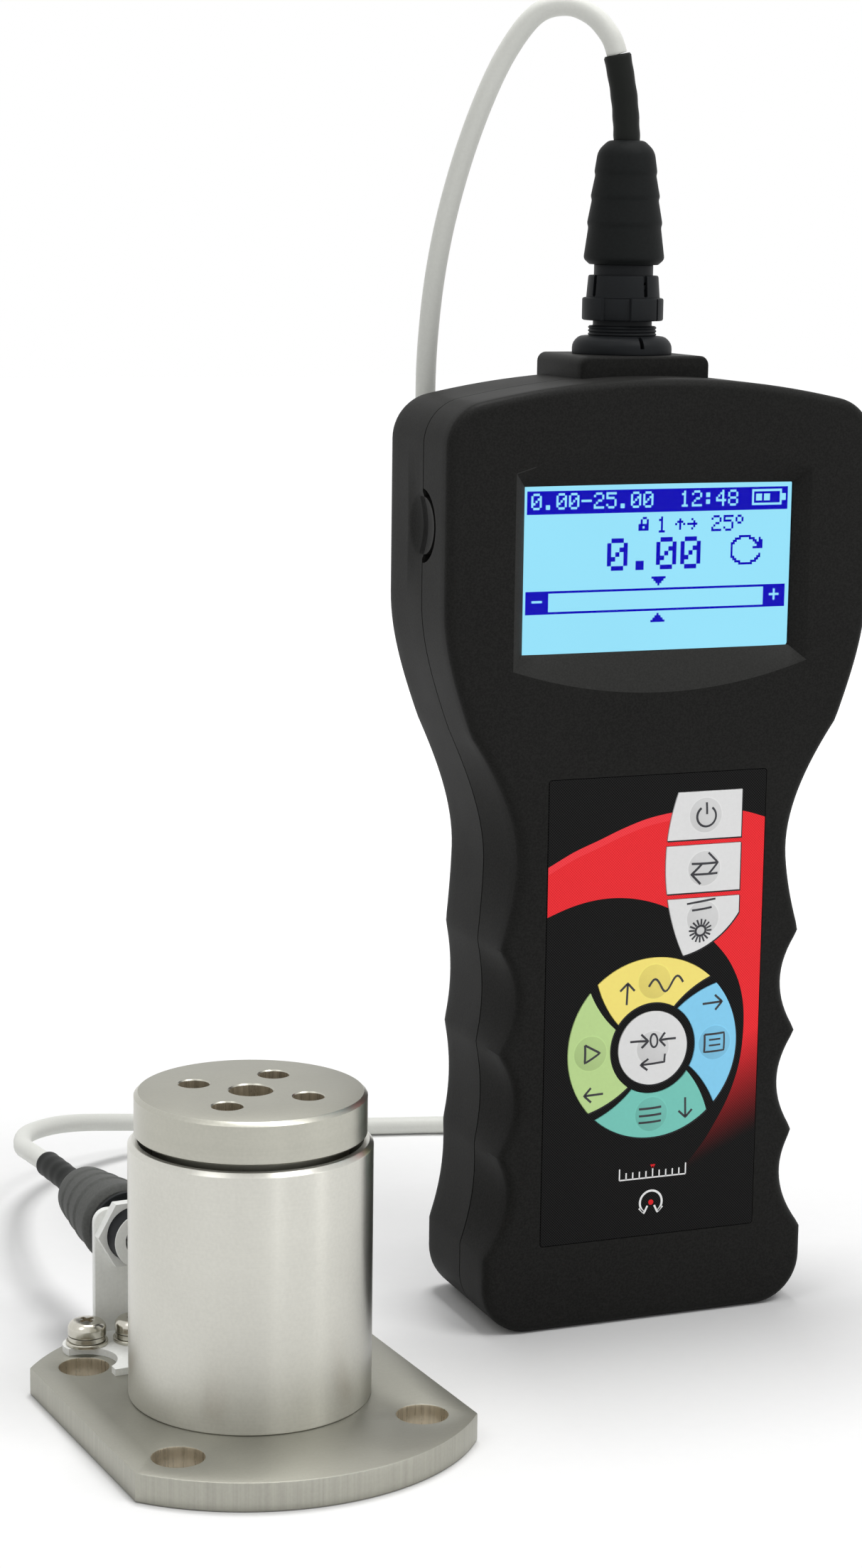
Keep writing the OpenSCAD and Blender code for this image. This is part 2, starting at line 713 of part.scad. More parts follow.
// One key: a pad through the overlay with a lip behind it and an embossed dome in front
module key_cap(k) at_indicator() {
    front_y = -overlay_proud - key_proud;
    slab(front_y, spacer_y + key_lip_t - front_y) key_shape(k, 0);
    slab(spacer_y, key_lip_t) key_shape(k, lip_w);
    at_dome(k, front_y) dome(dome_r, dome_h);
}

module film_shape() {
    rounded_rect(overlay_w, overlay_z, overlay_z + overlay_h, overlay_r);
}

module keypad_overlay() color([0.08, 0.08, 0.09]) at_indicator() slab(-overlay_proud, overlay_t) difference() {
    film_shape();
    for (k = [0:7]) key_shape(k, key_gap);
}

module keypad_spacer() color([0.25, 0.25, 0.27]) at_indicator() slab(spacer_y, spacer_t) difference() {
    film_shape();
    for (k = [0:2]) key_shape(k, lip_w + lip_room);
    translate([0, ring_z]) circle(ring_r + lip_w + lip_room);
}

module switch_film() color([0.75, 0.6, 0.3]) at_indicator() slab(film_y, film_t) film_shape();

module snap_domes() color([0.78, 0.79, 0.8]) at_indicator()
    for (k = [0:7]) at_dome(k, film_y) dome(snap_r, snap_h);

module key_on_off() color([0.9, 0.9, 0.9]) key_cap(0);
module key_unit() color([0.9, 0.9, 0.9]) key_cap(1);
module key_backlight() color([0.9, 0.9, 0.9]) key_cap(2);
module key_print() color([0.55, 0.84, 0.97]) key_cap(3);
module key_function() color([1, 0.93, 0.51]) key_cap(4);
module key_start() color([0.76, 0.88, 0.6]) key_cap(5);
module key_menu() color([0.49, 0.82, 0.76]) key_cap(6);
module key_enter() color([0.9, 0.9, 0.9]) key_cap(7);

module battery_pack() color([0.2, 0.35, 0.6]) at_indicator() {
    span = cell_pitch * (cell_n - 1);
    translate([0, housing_d - wall - cell_r - seat, pack_z]) linear_extrude(cell_l) {
        for (i = [0:cell_n - 1]) translate([cell_pitch * i - span / 2, 0]) circle(cell_r);
        translate([-span / 2, -cell_r / 2]) square([span, cell_r]);
    }
}

module housing_screws() color([0.7, 0.71, 0.72]) at_indicator() for (p = posts) {
    translate([p[0], screw_tip + 2 * edge, p[1]]) turned_back()
        square([screw_r, housing_d - head_recess - screw_tip - edge]);
    translate([p[0], housing_d - head_recess, p[1]]) turned_back() square([screw_head_r, screw_head_h]);
}

// Socket: tail and flange, ridged thread, barrel with bayonet lugs
module panel_socket() color([0.14, 0.15, 0.16]) at_socket() {
    ridge = thread_h / thread_n;
    rotate_extrude() difference() {
        union() {
            translate([0, boss_z - socket_tail]) square([thread_r, socket_tail + cut]);
            polygon([[0, boss_z], [flange_r, boss_z], [flange_r, flange_top_z - boss_round],
                     [flange_r - boss_round * round_share, flange_top_z - boss_round * round_share],
                     [flange_r - boss_round, flange_top_z], [0, flange_top_z]]);
            for (i = [0:thread_n - 1]) translate([0, flange_top_z + i * ridge])
                polygon([[0, 0], [thread_r - thread_ridge, 0], [thread_r, ridge / 2],
                         [thread_r - thread_ridge, ridge], [0, ridge]]);
            square([barrel_r, barrel_top_z]);
        }
        translate([0, -cut]) square([barrel_bore_r, barrel_top_z + 2 * cut]);
        translate([0, -cut]) square([flange_r, boss_z - socket_tail + cut]);
    }
    for (i = [0:lug_n - 1]) rotate([0, 0, 360 / lug_n * i]) difference() {
        translate([0, 0, flange_top_z + lug_rise]) rotate([0, 90, 0]) cylinder(r = lug_r, h = barrel_r + lug_h);
        translate([0, 0, flange_top_z]) cylinder(r = (barrel_r + barrel_bore_r) / 2, h = barrel_h);
    }
}

module socket_nut() color([0.6, 0.61, 0.63]) at_socket()
    translate([0, 0, top_z(nut_r) - wall - nut_h - seat]) difference() {
        cylinder(r = nut_r, h = nut_h, $fn = 6);
        translate([0, 0, -cut]) cylinder(r = thread_r + seat, h = nut_h + 2 * cut);
    }

module socket_insulator() color([0.2, 0.2, 0.22]) at_socket()
    translate([0, 0, boss_z - socket_tail]) difference() {
        cylinder(r = barrel_bore_r - seat, h = insulator_h);
        pin_circle() translate([0, 0, -cut]) cylinder(r = pin_r + seat, h = insulator_h + 2 * cut);
    }

module pin_circle() {
    for (i = [0:pin_n - 1]) rotate([0, 0, 360 / pin_n * i]) translate([pin_circle_r, 0, 0]) children();
}

module contact_pins() color([0.85, 0.7, 0.35]) at_socket() pin_circle()
    translate([0, 0, boss_z - socket_tail - pin_tail])
        cylinder(r = pin_r, h = insulator_h + pin_rise + pin_tail);

module socket_lead() color([0.3, 0.3, 0.32]) at_socket() {
    low_z = boss_z - socket_tail - pin_tail;
    translate([0, 0, low_z - lead_drop]) cylinder(r = lead_r, h = lead_drop);
    difference() {
        translate([0, 0, low_z - pin_tail / 2])
            cylinder(r = pin_circle_r + 2 * pin_r, h = 3 / 2 * pin_tail - seat);
        pin_circle() translate([0, 0, low_z]) cylinder(r = pin_r + seat, h = pin_tail);
    }
    translate([0, 0, low_z - lead_drop]) sphere(lead_r);
    translate([0, board_y + board_t - socket_y, low_z - lead_drop]) rotate([-90, 0, 0])
        cylinder(r = lead_r, h = socket_y - board_y - board_t);
}

// Turned plug shell: core in the barrel, collar in the ring, neck, stem in the boot
module plug_body() color([0.17, 0.18, 0.2]) at_socket() rotate_extrude() difference() {
    union() {
        translate([0, collar_z - core_l]) square([barrel_bore_r - core_gap, core_l + cut]);
        translate([0, collar_z]) square([collar_r, collar_t]);
        translate([0, neck_z - cut]) square([barrel_r, neck_l + cut]);
        translate([0, neck_z]) square([stem_r, neck_l + stem_l]);
    }
    translate([0, collar_z - core_l - cut])
        square([barrel_bore_r - core_gap - core_wall, core_l + collar_t + cut]);
    translate([0, neck_z]) square([stem_bore_r, neck_l + stem_l + cut]);
}

module plug_insert() color([0.2, 0.2, 0.22]) at_socket() translate([0, 0, collar_z - core_l]) difference() {
    cylinder(r = barrel_bore_r - core_gap - core_wall - seat, h = core_l + collar_t - seat);
    pin_circle() translate([0, 0, -cut]) cylinder(r = pin_hole_r, h = core_l);
}

// Coupling ring with gripping pads, spring slots and a bayonet groove for each lug
module coupling_ring() color([0.2, 0.22, 0.24]) at_socket() difference() {
    bore_r = barrel_r + coupling_clear;
    groove_r = barrel_r + lug_h + lug_room;
    groove_z = flange_top_z + lug_rise - lug_r - lug_room;
    groove_h = 2 * (lug_r + lug_room);
    top = coupling_z + coupling_h;
    union() {
        translate([0, 0, coupling_z]) cylinder(r = coupling_r, h = pad_h);
        translate([0, 0, coupling_z + pad_h])
            rotate_extrude() polygon([[0, 0], [coupling_r, 0],
                                      [coupling_r - coupling_taper, coupling_h - pad_h],
                                      [0, coupling_h - pad_h]]);
        for (i = [0:pad_n - 1]) rotate([0, 0, 360 / pad_n * (i + pad_shares[0])])
            translate([0, 0, coupling_z]) rotate_extrude(angle = 360 / pad_n * pad_shares[1])
                polygon([[0, 0], [coupling_r + pad_t - edge, 0], [coupling_r + pad_t, edge],
                         [coupling_r + pad_t, pad_h - edge], [coupling_r + pad_t - edge, pad_h], [0, pad_h]]);
    }
    translate([0, 0, coupling_z - cut]) cylinder(r = bore_r, h = coupling_h + 2 * cut);
    translate([0, 0, collar_z - lug_room])
        cylinder(r = collar_r + coupling_clear, h = top - coupling_lip - collar_z + lug_room);
    for (i = [0:slot_n - 1]) rotate([0, 0, 360 / slot_n * (i + slot_share)])
        translate([coupling_r - slot_depth, -slot_w / 2, top - slot_h])
            cube([coupling_r, slot_w, slot_h + cut]);
    for (i = [0:lug_n - 1]) rotate([0, 0, 360 / lug_n * i]) {
        groove_a = asin((lug_r + lug_room) / barrel_r);
        rotate([0, 0, -coupling_turn - groove_a]) translate([0, 0, groove_z])
            rotate_extrude(angle = coupling_turn + 2 * groove_a) square([groove_r, groove_h]);
        rotate([0, 0, -coupling_turn]) translate([0, -lug_r - lug_room, coupling_z - cut])
            cube([groove_r, 2 * (lug_r + lug_room), groove_z + groove_h - coupling_z + cut]);
    }
}

// Boot profile from base to tip, with shallow ribs; the stem fits its bore
module boot_shape() {
    n = len(boot_place_shares);
    difference() {
        polygon(concat([[0, 0]],
                       [for (i = [0:n - 1]) [boot_tip_r + (boot_r - boot_tip_r) * boot_radius_shares[i],
                                             boot_l * boot_place_shares[i]]],
                       [[0, boot_l]]));
        square([2 * (stem_r + seat), 2 * stem_l], center = true);
    }
}

module plug_boot() color([0.12, 0.13, 0.14]) at_socket()
    translate([0, 0, boot_z]) rotate_extrude() boot_shape();

// Tube along points
function route_point(p, i, t) =
    let(a = p[max(i - 1, 0)], b = p[i], c = p[i + 1], d = p[min(i + 2, len(p) - 1)])
    b + ((c - a) * t + (2 * a - 5 * b + 4 * c - d) * t * t + (3 * b - a - 3 * c + d) * t * t * t) / 2;
function route(p) = concat([for (i = [0:len(p) - 2], s = [0:cord_steps - 1]) route_point(p, i, s / cord_steps)],
                           [p[len(p) - 1]]);
function unit(v) = v / norm(v);
function turned_normals(t, i, n) =
    i == len(t) ? [] : let(m = unit(n - (n * t[i]) * t[i])) concat([m], turned_normals(t, i + 1, m));

module tube(points, r) {
    q = route(points);
    last = len(q) - 1;
    t = [for (i = [0:last]) unit(q[min(i + 1, last)] - q[max(i - 1, 0)])];
    n = turned_normals(t, 0, [0, 1, 0] + t[0] / 2);
    c = cord_sides;
    rings = [for (i = [0:last], k = [0:c - 1]) let(a = 360 * k / c, m = cross(t[i], n[i]))
             q[i] + r * (cos(a) * n[i] + sin(a) * m)];
    sides = [for (i = [0:last - 1], k = [0:c - 1]) let(j = (k + 1) % c)
             each [[i * c + k, (i + 1) * c + k, (i + 1) * c + j], [i * c + k, (i + 1) * c + j, i * c + j]]];
    polyhedron(rings, concat(sides, [[for (k = [0:c - 1]) k]], [[for (k = [c - 1:-1:0]) last * c + k]]),
               convexity = 8);
}

module plug_sleeve() color([0.1, 0.1, 0.11]) difference() {
    tube(sleeve_points, sleeve_r);
    at_socket() cylinder(r = boot_r, h = boot_z + boot_l);
}

module cord() color([0.88, 0.88, 0.86]) tube(cord_points, cord_d / 2);

module sensor_sleeve() color([0.1, 0.1, 0.11]) difference() {
    tube(sensor_sleeve_points, sleeve_r);
    at_outlet(0) turned_back() square([boot_r, boot_y + boot_l]);
}

module sensor_boot() color([0.12, 0.13, 0.14]) at_outlet(boot_y) turned_back() boot_shape();

// Connector shell through the bracket, with its stem in the boot
module sensor_connector() color([0.17, 0.18, 0.2]) at_outlet(bracket_y) turned_back() difference() {
    union() {
        translate([0, -shell_front]) square([shell_r, shell_front + bracket_t + cut]);
        translate([0, bracket_t]) square([shell_flange_r, shell_flange_t]);
        translate([0, bracket_t]) square([barrel_r, shell_flange_t + shell_neck_l]);
        translate([0, bracket_t]) square([stem_r, shell_flange_t + shell_neck_l + stem_l]);
    }
    translate([0, -shell_front - cut]) square([shell_bore_r, shell_front + cut]);
}

module connector_nut() color([0.6, 0.61, 0.63]) at_outlet(bracket_y - connector_nut_t)
    rotate([-90, 0, 0]) difference() {
        cylinder(r = connector_nut_r, h = connector_nut_t, $fn = 6);
        translate([0, 0, -cut]) cylinder(r = shell_r + seat, h = connector_nut_t + 2 * cut);
    }

module plate_outline(r) {
    intersection() {
        circle(r, $fn = 128);
        square([plate_flats, plate_d], center = true);
    }
}

// Foot of the bracket, as seen from above: clears the cover and the mounting hole, and has an ear for the screw
module foot_outline() {
    intersection() {
        plate_outline(plate_d / 2 - edge);
        difference() {
            union() {
                translate([-outlet_x - bracket_w / 2, foot_front_y])
                    square([bracket_w, bracket_back_y - foot_front_y]);
                translate([screw_places[0][0], foot_front_y])
                    square([-screw_places[0][0] - outlet_x, screw_places[0][1] - foot_front_y]);
                translate(screw_places[0]) circle(foot_ear_r);
            }
            circle(cover_r + foot_clear, $fn = 96);
            translate(hole_place) circle(plate_hole_d / 2 + hole_clear);
            for (p = screw_places) translate(p) circle(bracket_screw_r + seat);
        }
    }
}

module connector_bracket() color([0.76, 0.77, 0.76]) at_sensor() {
    translate([0, 0, plate_t]) linear_extrude(bracket_t) foot_outline();
    slab(bracket_y, bracket_t) translate([-outlet_x, 0]) difference() {
        union() {
            translate([-bracket_w / 2, plate_t]) square([bracket_w, bracket_top_z - bracket_r - plate_t]);
            translate([-bracket_w / 2 + bracket_r, plate_t])
                square([bracket_w - 2 * bracket_r, bracket_top_z - plate_t]);
            for (s = [-1, 1])
                translate([s * (bracket_w / 2 - bracket_r), bracket_top_z - bracket_r]) circle(bracket_r);
        }
        translate([0, outlet_z]) circle(bracket_hole_r);
    }
}

washer_z = plate_t + bracket_t;

module bracket_screws() color([0.72, 0.72, 0.7]) at_sensor() for (p = screw_places)
    translate([p[0], p[1], washer_z + washer_t + spring_washer_t]) difference() {
        union() {
            translate([0, 0, -bracket_screw_l + edge]) cylinder(r = bracket_screw_r, h = bracket_screw_l);
            rotate_extrude() polygon([[0, 0], [bracket_head_r, 0],
                                      [bracket_head_r, bracket_head_h - 2 * edge],
                                      [bracket_head_r - 2 * edge, bracket_head_h], [0, bracket_head_h]]);
        }
        for (a = [0, 90]) rotate([0, 0, a])
            translate([-recess_l / 2, -recess_w / 2, bracket_head_h - recess_depth])
                cube([recess_l, recess_w, recess_depth + cut]);
    }

module bracket_washers() color([0.78, 0.78, 0.76]) at_sensor() for (p = screw_places)
    translate([p[0], p[1], washer_z]) difference() {
        union() {
            cylinder(r = washer_r, h = washer_t);
            cylinder(r = spring_washer_r, h = washer_t + spring_washer_t);
        }
        translate([0, 0, -cut]) cylinder(r = bracket_screw_r + seat, h = washer_t + spring_washer_t + 2 * cut);
        translate([0, -spring_gap / 2, washer_t]) cube([washer_r, spring_gap, spring_washer_t + cut]);
    }

// Places around the sensor axis
module around(n, r, a) {
    for (i = [0:n - 1]) rotate([0, 0, a + 360 / n * i]) translate([r, 0, 0]) children();
}

module base_plate() color([0.72, 0.71, 0.68]) at_sensor() difference() {
    intersection() {
        rotate_extrude($fn = 128)
            polygon([[0, 0], [plate_d / 2 - edge, 0], [plate_d / 2, edge], [plate_d / 2, plate_t - edge],
                     [plate_d / 2 - edge, plate_t], [0, plate_t]]);
        translate([-plate_flats / 2, -plate_d / 2, 0]) cube([plate_flats, plate_d, plate_t]);
    }
    around(plate_hole_n, plate_pcd / 2, 45)
        translate([0, 0, -cut]) cylinder(d = plate_hole_d, h = plate_t + 2 * cut);
    around(element_screw_n, element_screw_circle_r, 0) {
        translate([0, 0, -cut]) cylinder(r = element_screw_r + seat, h = plate_t + 2 * cut);
        translate([0, 0, -cut]) cylinder(r = element_head_r + seat, h = element_head_h + edge + cut);
    }
    for (p = screw_places) translate([p[0], p[1], edge]) cylinder(r = bracket_screw_r + seat, h = plate_t);
}

module sensor_cover() color([0.83, 0.84, 0.84]) at_sensor() difference() {
    rotate_extrude($fn = 128)
        polygon([[cover_in_r, plate_t], [cover_r, plate_t], [cover_r, cover_top_z - chamfer],
                 [cover_r - chamfer, cover_top_z], [cover_in_r, cover_top_z]]);
    translate([-outlet_x, 0, outlet_z]) turned_back() square([grommet_r + seat, cover_r + cut]);
}

// One machined piece: flange on the plate, square column, spigot and measuring disk
module measuring_element() color([0.74, 0.73, 0.7]) at_sensor() difference() {
    union() {
        translate([0, 0, plate_t]) cylinder(r = cover_in_r - seat, h = element_flange_t, $fn = 128);
        translate([-column_w / 2, -column_w / 2, plate_t]) cube([column_w, column_w, disk_low_z - plate_t]);
        translate([0, 0, disk_low_z - spigot_h]) cylinder(r = spigot_r, h = spigot_h + edge, $fn = 128);
        translate([0, 0, disk_low_z]) rotate_extrude($fn = 128)
            polygon([[0, 0], [disk_r - edge, 0], [disk_r, edge], [disk_r, disk_t - chamfer],
                     [disk_r - chamfer, disk_t], [0, disk_t]]);
    }
    translate([0, 0, -cut]) cylinder(d = column_bore_d, h = disk_low_z - spigot_h / 2 + cut);
    translate([0, 0, sensor_h - pilot_depth]) cylinder(d = pilot_d, h = pilot_depth + cut);
    around(disk_hole_n, disk_pcd / 2, 45)
        translate([0, 0, sensor_h - disk_hole_depth]) cylinder(d = disk_hole_d, h = disk_hole_depth + cut);
    around(element_screw_n, element_screw_circle_r, 0)
        translate([0, 0, plate_t - cut])
            cylinder(r = element_screw_r + seat, h = element_flange_t - edge + cut);
}

module element_screws() color([0.5, 0.5, 0.52]) at_sensor() around(element_screw_n, element_screw_circle_r, 0) {
    translate([0, 0, edge]) cylinder(r = element_screw_r, h = element_screw_l);
    translate([0, 0, edge]) cylinder(r = element_head_r, h = element_head_h);
}

module strain_gauges() color([0.85, 0.6, 0.3]) at_sensor() around(gauge_n, column_w / 2, 0)
    translate([0, -gauge_w / 2, gauge_z]) cube([gauge_t, gauge_w, gauge_h]);

module sensor_lead() color([0.5, 0.5, 0.52]) at_outlet(lead_start_y) turned_back()
    square([sensor_lead_r, bracket_y - lead_start_y - seat]);

module lead_grommet() color([0.1, 0.1, 0.1]) at_outlet(grommet_y) turned_back() difference() {
    square([grommet_r, grommet_l]);
    translate([0, -cut]) square([sensor_lead_r + seat, grommet_l + 2 * cut]);
}

front_housing();
rear_housing();
display_window();
lcd_module();
backlight_panel();
main_board();
keypad_overlay();
keypad_spacer();
switch_film();
snap_domes();
key_on_off();
key_unit();
key_backlight();
key_function();
key_print();
key_menu();
key_start();
key_enter();
battery_pack();
housing_screws();
panel_socket();
socket_nut();
socket_insulator();
contact_pins();
socket_lead();
plug_body();
plug_insert();
coupling_ring();
plug_boot();
plug_sleeve();
cord();
sensor_sleeve();
sensor_boot();
sensor_connector();
connector_nut();
connector_bracket();
bracket_screws();
bracket_washers();
base_plate();
sensor_cover();
measuring_element();
element_screws();
strain_gauges();
sensor_lead();
lead_grommet();
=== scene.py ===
"""Torque tester: hand-held indicator, cable and static torque sensor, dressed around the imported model."""

import math

import bmesh
import bpy
from bpy.props import FloatProperty, FloatVectorProperty, PointerProperty
from bpy.types import Operator, Panel, PropertyGroup
from mathutils import Matrix, Vector
from mathutils.geometry import delaunay_2d_cdt


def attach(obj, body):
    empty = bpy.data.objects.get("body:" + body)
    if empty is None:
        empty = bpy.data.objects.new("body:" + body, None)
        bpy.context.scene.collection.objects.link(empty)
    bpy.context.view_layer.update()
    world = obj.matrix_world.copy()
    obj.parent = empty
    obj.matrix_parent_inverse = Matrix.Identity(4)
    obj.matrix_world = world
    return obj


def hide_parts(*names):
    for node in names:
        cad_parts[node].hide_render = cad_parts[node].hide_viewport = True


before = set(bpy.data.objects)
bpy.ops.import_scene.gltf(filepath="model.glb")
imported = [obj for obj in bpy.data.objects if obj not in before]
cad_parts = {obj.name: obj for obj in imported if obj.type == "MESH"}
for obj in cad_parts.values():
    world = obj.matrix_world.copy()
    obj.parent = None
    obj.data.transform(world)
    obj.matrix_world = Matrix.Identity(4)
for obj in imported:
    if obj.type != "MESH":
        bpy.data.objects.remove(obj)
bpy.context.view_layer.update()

bl_info = {
    "name": "Torque tester",
    "version": (1, 0, 0),
    "blender": (4, 5, 0),
    "location": "View3D > Sidebar > Torque tester",
    "description": "Builds the visible pieces of a torque tester around its packed model",
    "category": "Object",
}

MM = 0.001
BODY = "tester"
INDICATOR = Matrix.Translation((102, 25.5, 0))
SOCKET = Matrix.Translation((102, 50.5, 0))
SENSOR = Matrix.Rotation(math.radians(5), 4, "Z")


# Settings

def linear(r, g, b):
    """Colour written in 0-255 steps as the light values that Blender uses."""
    steps = (c / 255 for c in (r, g, b))
    return tuple(c / 12.92 if c <= 0.04045 else ((c + 0.055) / 1.055) ** 2.4 for c in steps)


def size(name, text, mm):
    return FloatProperty(name=name, description=text, default=mm * MM, unit="LENGTH", precision=5)


def number(name, text, value, **more):
    return FloatProperty(name=name, description=text, default=value, **more)


def colour(name, text, r, g, b):
    return FloatVectorProperty(name=name, description=text, default=linear(r, g, b), size=3, subtype="COLOR",
                               min=0, max=1)


class HousingSettings(PropertyGroup):
    head_w: size("Head width", "Width across the display end", 101)
    grip_w: size("Grip width", "Width across the ridges of the grip", 72.4)
    foot_w: size("Foot width", "Width across the lowest ridge", 78.6)
    height: size("Height", "Height of the crown of the top edge", 211)
    depth: size("Depth", "Depth from face to back", 38)
    split: size("Parting depth", "Depth of the front shell", 15)
    wall: size("Wall", "Thickness of the side walls", 2.4)
    front_round: size("Front edge", "Radius of the front edge", 2.3)
    rear_round: size("Rear edge", "Radius of the rear edge", 5)
    groove: size("Parting groove", "Depth of the groove between the shells", 0.5)
    shell: colour("Shell", "Moulded plastic of both shells", 31, 31, 30)


class DisplaySettings(PropertyGroup):
    glass_w: size("Glass width", "Width of the visible glass", 64)
    glass_h: size("Glass height", "Height of the visible glass", 36)
    centre: size("Glass centre", "Height of the middle of the glass", 170.2)
    bezel_w: size("Recess width", "Width of the bevelled recess", 70.4)
    bezel_h: size("Recess height", "Height of its straight sides", 42.3)
    bulge: size("Recess crown", "Rise of its upper and lower edges", 5.8)
    ground: colour("Ground", "Lit ground of the display", 151, 226, 250)
    dots: colour("Dots", "Switched dots of the display", 10, 5, 185)


class KeypadSettings(PropertyGroup):
    width: size("Overlay width", "Width of the printed film", 52.4)
    low: size("Overlay foot", "Height of its lower edge", 20)
    high: size("Overlay top", "Height of its upper edge", 125)
    black: colour("Black print", "Dark print of the overlay", 17, 17, 17)
    red: colour("Red print", "Red band of the overlay", 252, 52, 58)
    grey: colour("Grey keys", "Keys of the column and the middle key", 231, 231, 231)
    yellow: colour("Yellow key", "Upper key of the ring", 255, 236, 126)
    blue: colour("Blue key", "Right key of the ring", 138, 214, 250)
    teal: colour("Teal key", "Lower key of the ring", 122, 206, 192)
    green: colour("Green key", "Left key of the ring", 194, 224, 150)


class ConnectorSettings(PropertyGroup):
    boot: size("Boot radius", "Largest radius of a cable boot", 8.9)
    tip: size("Boot tip", "Radius of the thin end of a cable boot", 6.2)
    length: size("Boot length", "Length of a cable boot", 26.7)
    plastic: colour("Connector plastic", "Moulded parts of the connector", 24, 26, 28)
    rubber: colour("Boot rubber", "Cable boots", 21, 23, 23)
    sleeve: colour("Shrink sleeve", "Heat-shrink sleeves", 22, 24, 22)


class CableSettings(PropertyGroup):
    diameter: size("Diameter", "Outer diameter of the cable", 4.5)
    jacket: colour("Jacket", "Cable jacket", 214, 215, 209)


class SensorSettings(PropertyGroup):
    plate_d: size("Plate diameter", "Diameter of the base plate", 96)
    flats: size("Plate flats", "Distance across its two flats", 74)
    plate_t: size("Plate thickness", "Thickness of the base plate", 6)
    cover_d: size("Cover diameter", "Outer diameter of the cover", 50)
    height: size("Height", "Height of the sensor", 70)
    steel: colour("Steel", "Satin stainless steel", 152, 151, 142)
    aluminium: colour("Cover metal", "Turned aluminium of the cover", 204, 203, 195)
    sheet: colour("Bracket metal", "Sheet of the bracket", 240, 241, 238)


class StageSettings(PropertyGroup):
    lens: number("Focal length", "Focal length of the camera in millimetres", 47.484)
    sky: number("Sky light", "Strength of the light from all round", 0.44, min=0)
    paper: number("Paper white", "How much whiter than lit paper the far floor looks", 0.68, min=0)
    key_light: number("Key light", "Power of the main lamp in watts", 1.9, min=0)


def mm(group, name):
    return getattr(group, name) / MM


# Materials

class Graph:
    """A small helper that adds and links nodes in one tree."""

    def __init__(self, tree):
        self.tree = tree

    def add(self, kind, **values):
        node = self.tree.nodes.new(kind)
        for key, value in values.items():
            setattr(node, key, value)
        return node

    def set(self, socket, value):
        if isinstance(value, bpy.types.NodeSocket):
            self.tree.links.new(value, socket)
        elif hasattr(value, "__len__") and len(value) == 3 and socket.type == "RGBA":
            socket.default_value = (*value, 1)
        else:
            socket.default_value = value

    def math(self, operation, a, b=0.0, c=0.0, clamp=False):
        node = self.add("ShaderNodeMath", operation=operation, use_clamp=clamp)
        for socket, value in zip(node.inputs, (a, b, c)):
            self.set(socket, value)
        return node.outputs[0]

    def mix(self, factor, a, b, blend="MIX"):
        node = self.add("ShaderNodeMix", data_type="RGBA", blend_type=blend)
        for name, value in (("Factor_Float", factor), ("A_Color", a), ("B_Color", b)):
            self.set(next(s for s in node.inputs if s.identifier == name), value)
        return next(s for s in node.outputs if s.identifier == "Result_Color")

    def span(self, value, low, high, to_low=0.0, to_high=1.0):
        node = self.add("ShaderNodeMapRange")
        for socket, v in zip(node.inputs, (value, low, high, to_low, to_high)):
            self.set(socket, v)
        return node.outputs[0]

    def shade(self, color, tone):
        """A colour times a grey tone."""
        grey = self.add("ShaderNodeCombineColor")
        for socket in grey.inputs[:3]:
            self.set(socket, tone)
        return self.mix(1.0, color, grey.outputs[0], "MULTIPLY")

    def seen(self):
        """1 for what the camera, a reflection or a clear pane shows, and 0 for lighting."""
        path = self.add("ShaderNodeLightPath").outputs
        return self.math("MAXIMUM", self.math("MAXIMUM", path["Is Camera Ray"], path["Is Glossy Ray"]),
                         path["Is Transmission Ray"])

    def point(self):
        return self.add("ShaderNodeTexCoord").outputs["Object"]

    def split(self, vector):
        node = self.add("ShaderNodeSeparateXYZ")
        self.set(node.inputs[0], vector)
        return node.outputs

    def place(self, scale=(1, 1, 1)):
        node = self.add("ShaderNodeMapping")
        self.set(node.inputs["Vector"], self.point())
        self.set(node.inputs["Scale"], scale)
        return node.outputs[0]

    def noise(self, at, scale, detail=2.0, rough=0.5):
        node = self.add("ShaderNodeTexNoise")
        for name, value in (("Vector", at), ("Scale", scale), ("Detail", detail), ("Roughness", rough)):
            self.set(node.inputs[name], value)
        return node.outputs["Fac"]


def group(name, inputs, outputs):
    """An empty node group with named sockets: its graph, its inputs and its output node."""
    tree = bpy.data.node_groups.new(name, "ShaderNodeTree")
    for label, kind, value in inputs:
        socket = tree.interface.new_socket(name=label, in_out="INPUT", socket_type=kind)
        socket.default_value = (*value, 1) if kind == "NodeSocketColor" else value
    for label, kind in outputs:
        tree.interface.new_socket(name=label, in_out="OUTPUT", socket_type=kind)
    graph = Graph(tree)
    return graph, graph.add("NodeGroupInput").outputs, graph.add("NodeGroupOutput").inputs


COLOUR, VALUE = "NodeSocketColor", "NodeSocketFloat"
FINISH = [("Color", COLOUR), ("Roughness", VALUE), ("Height", VALUE)]


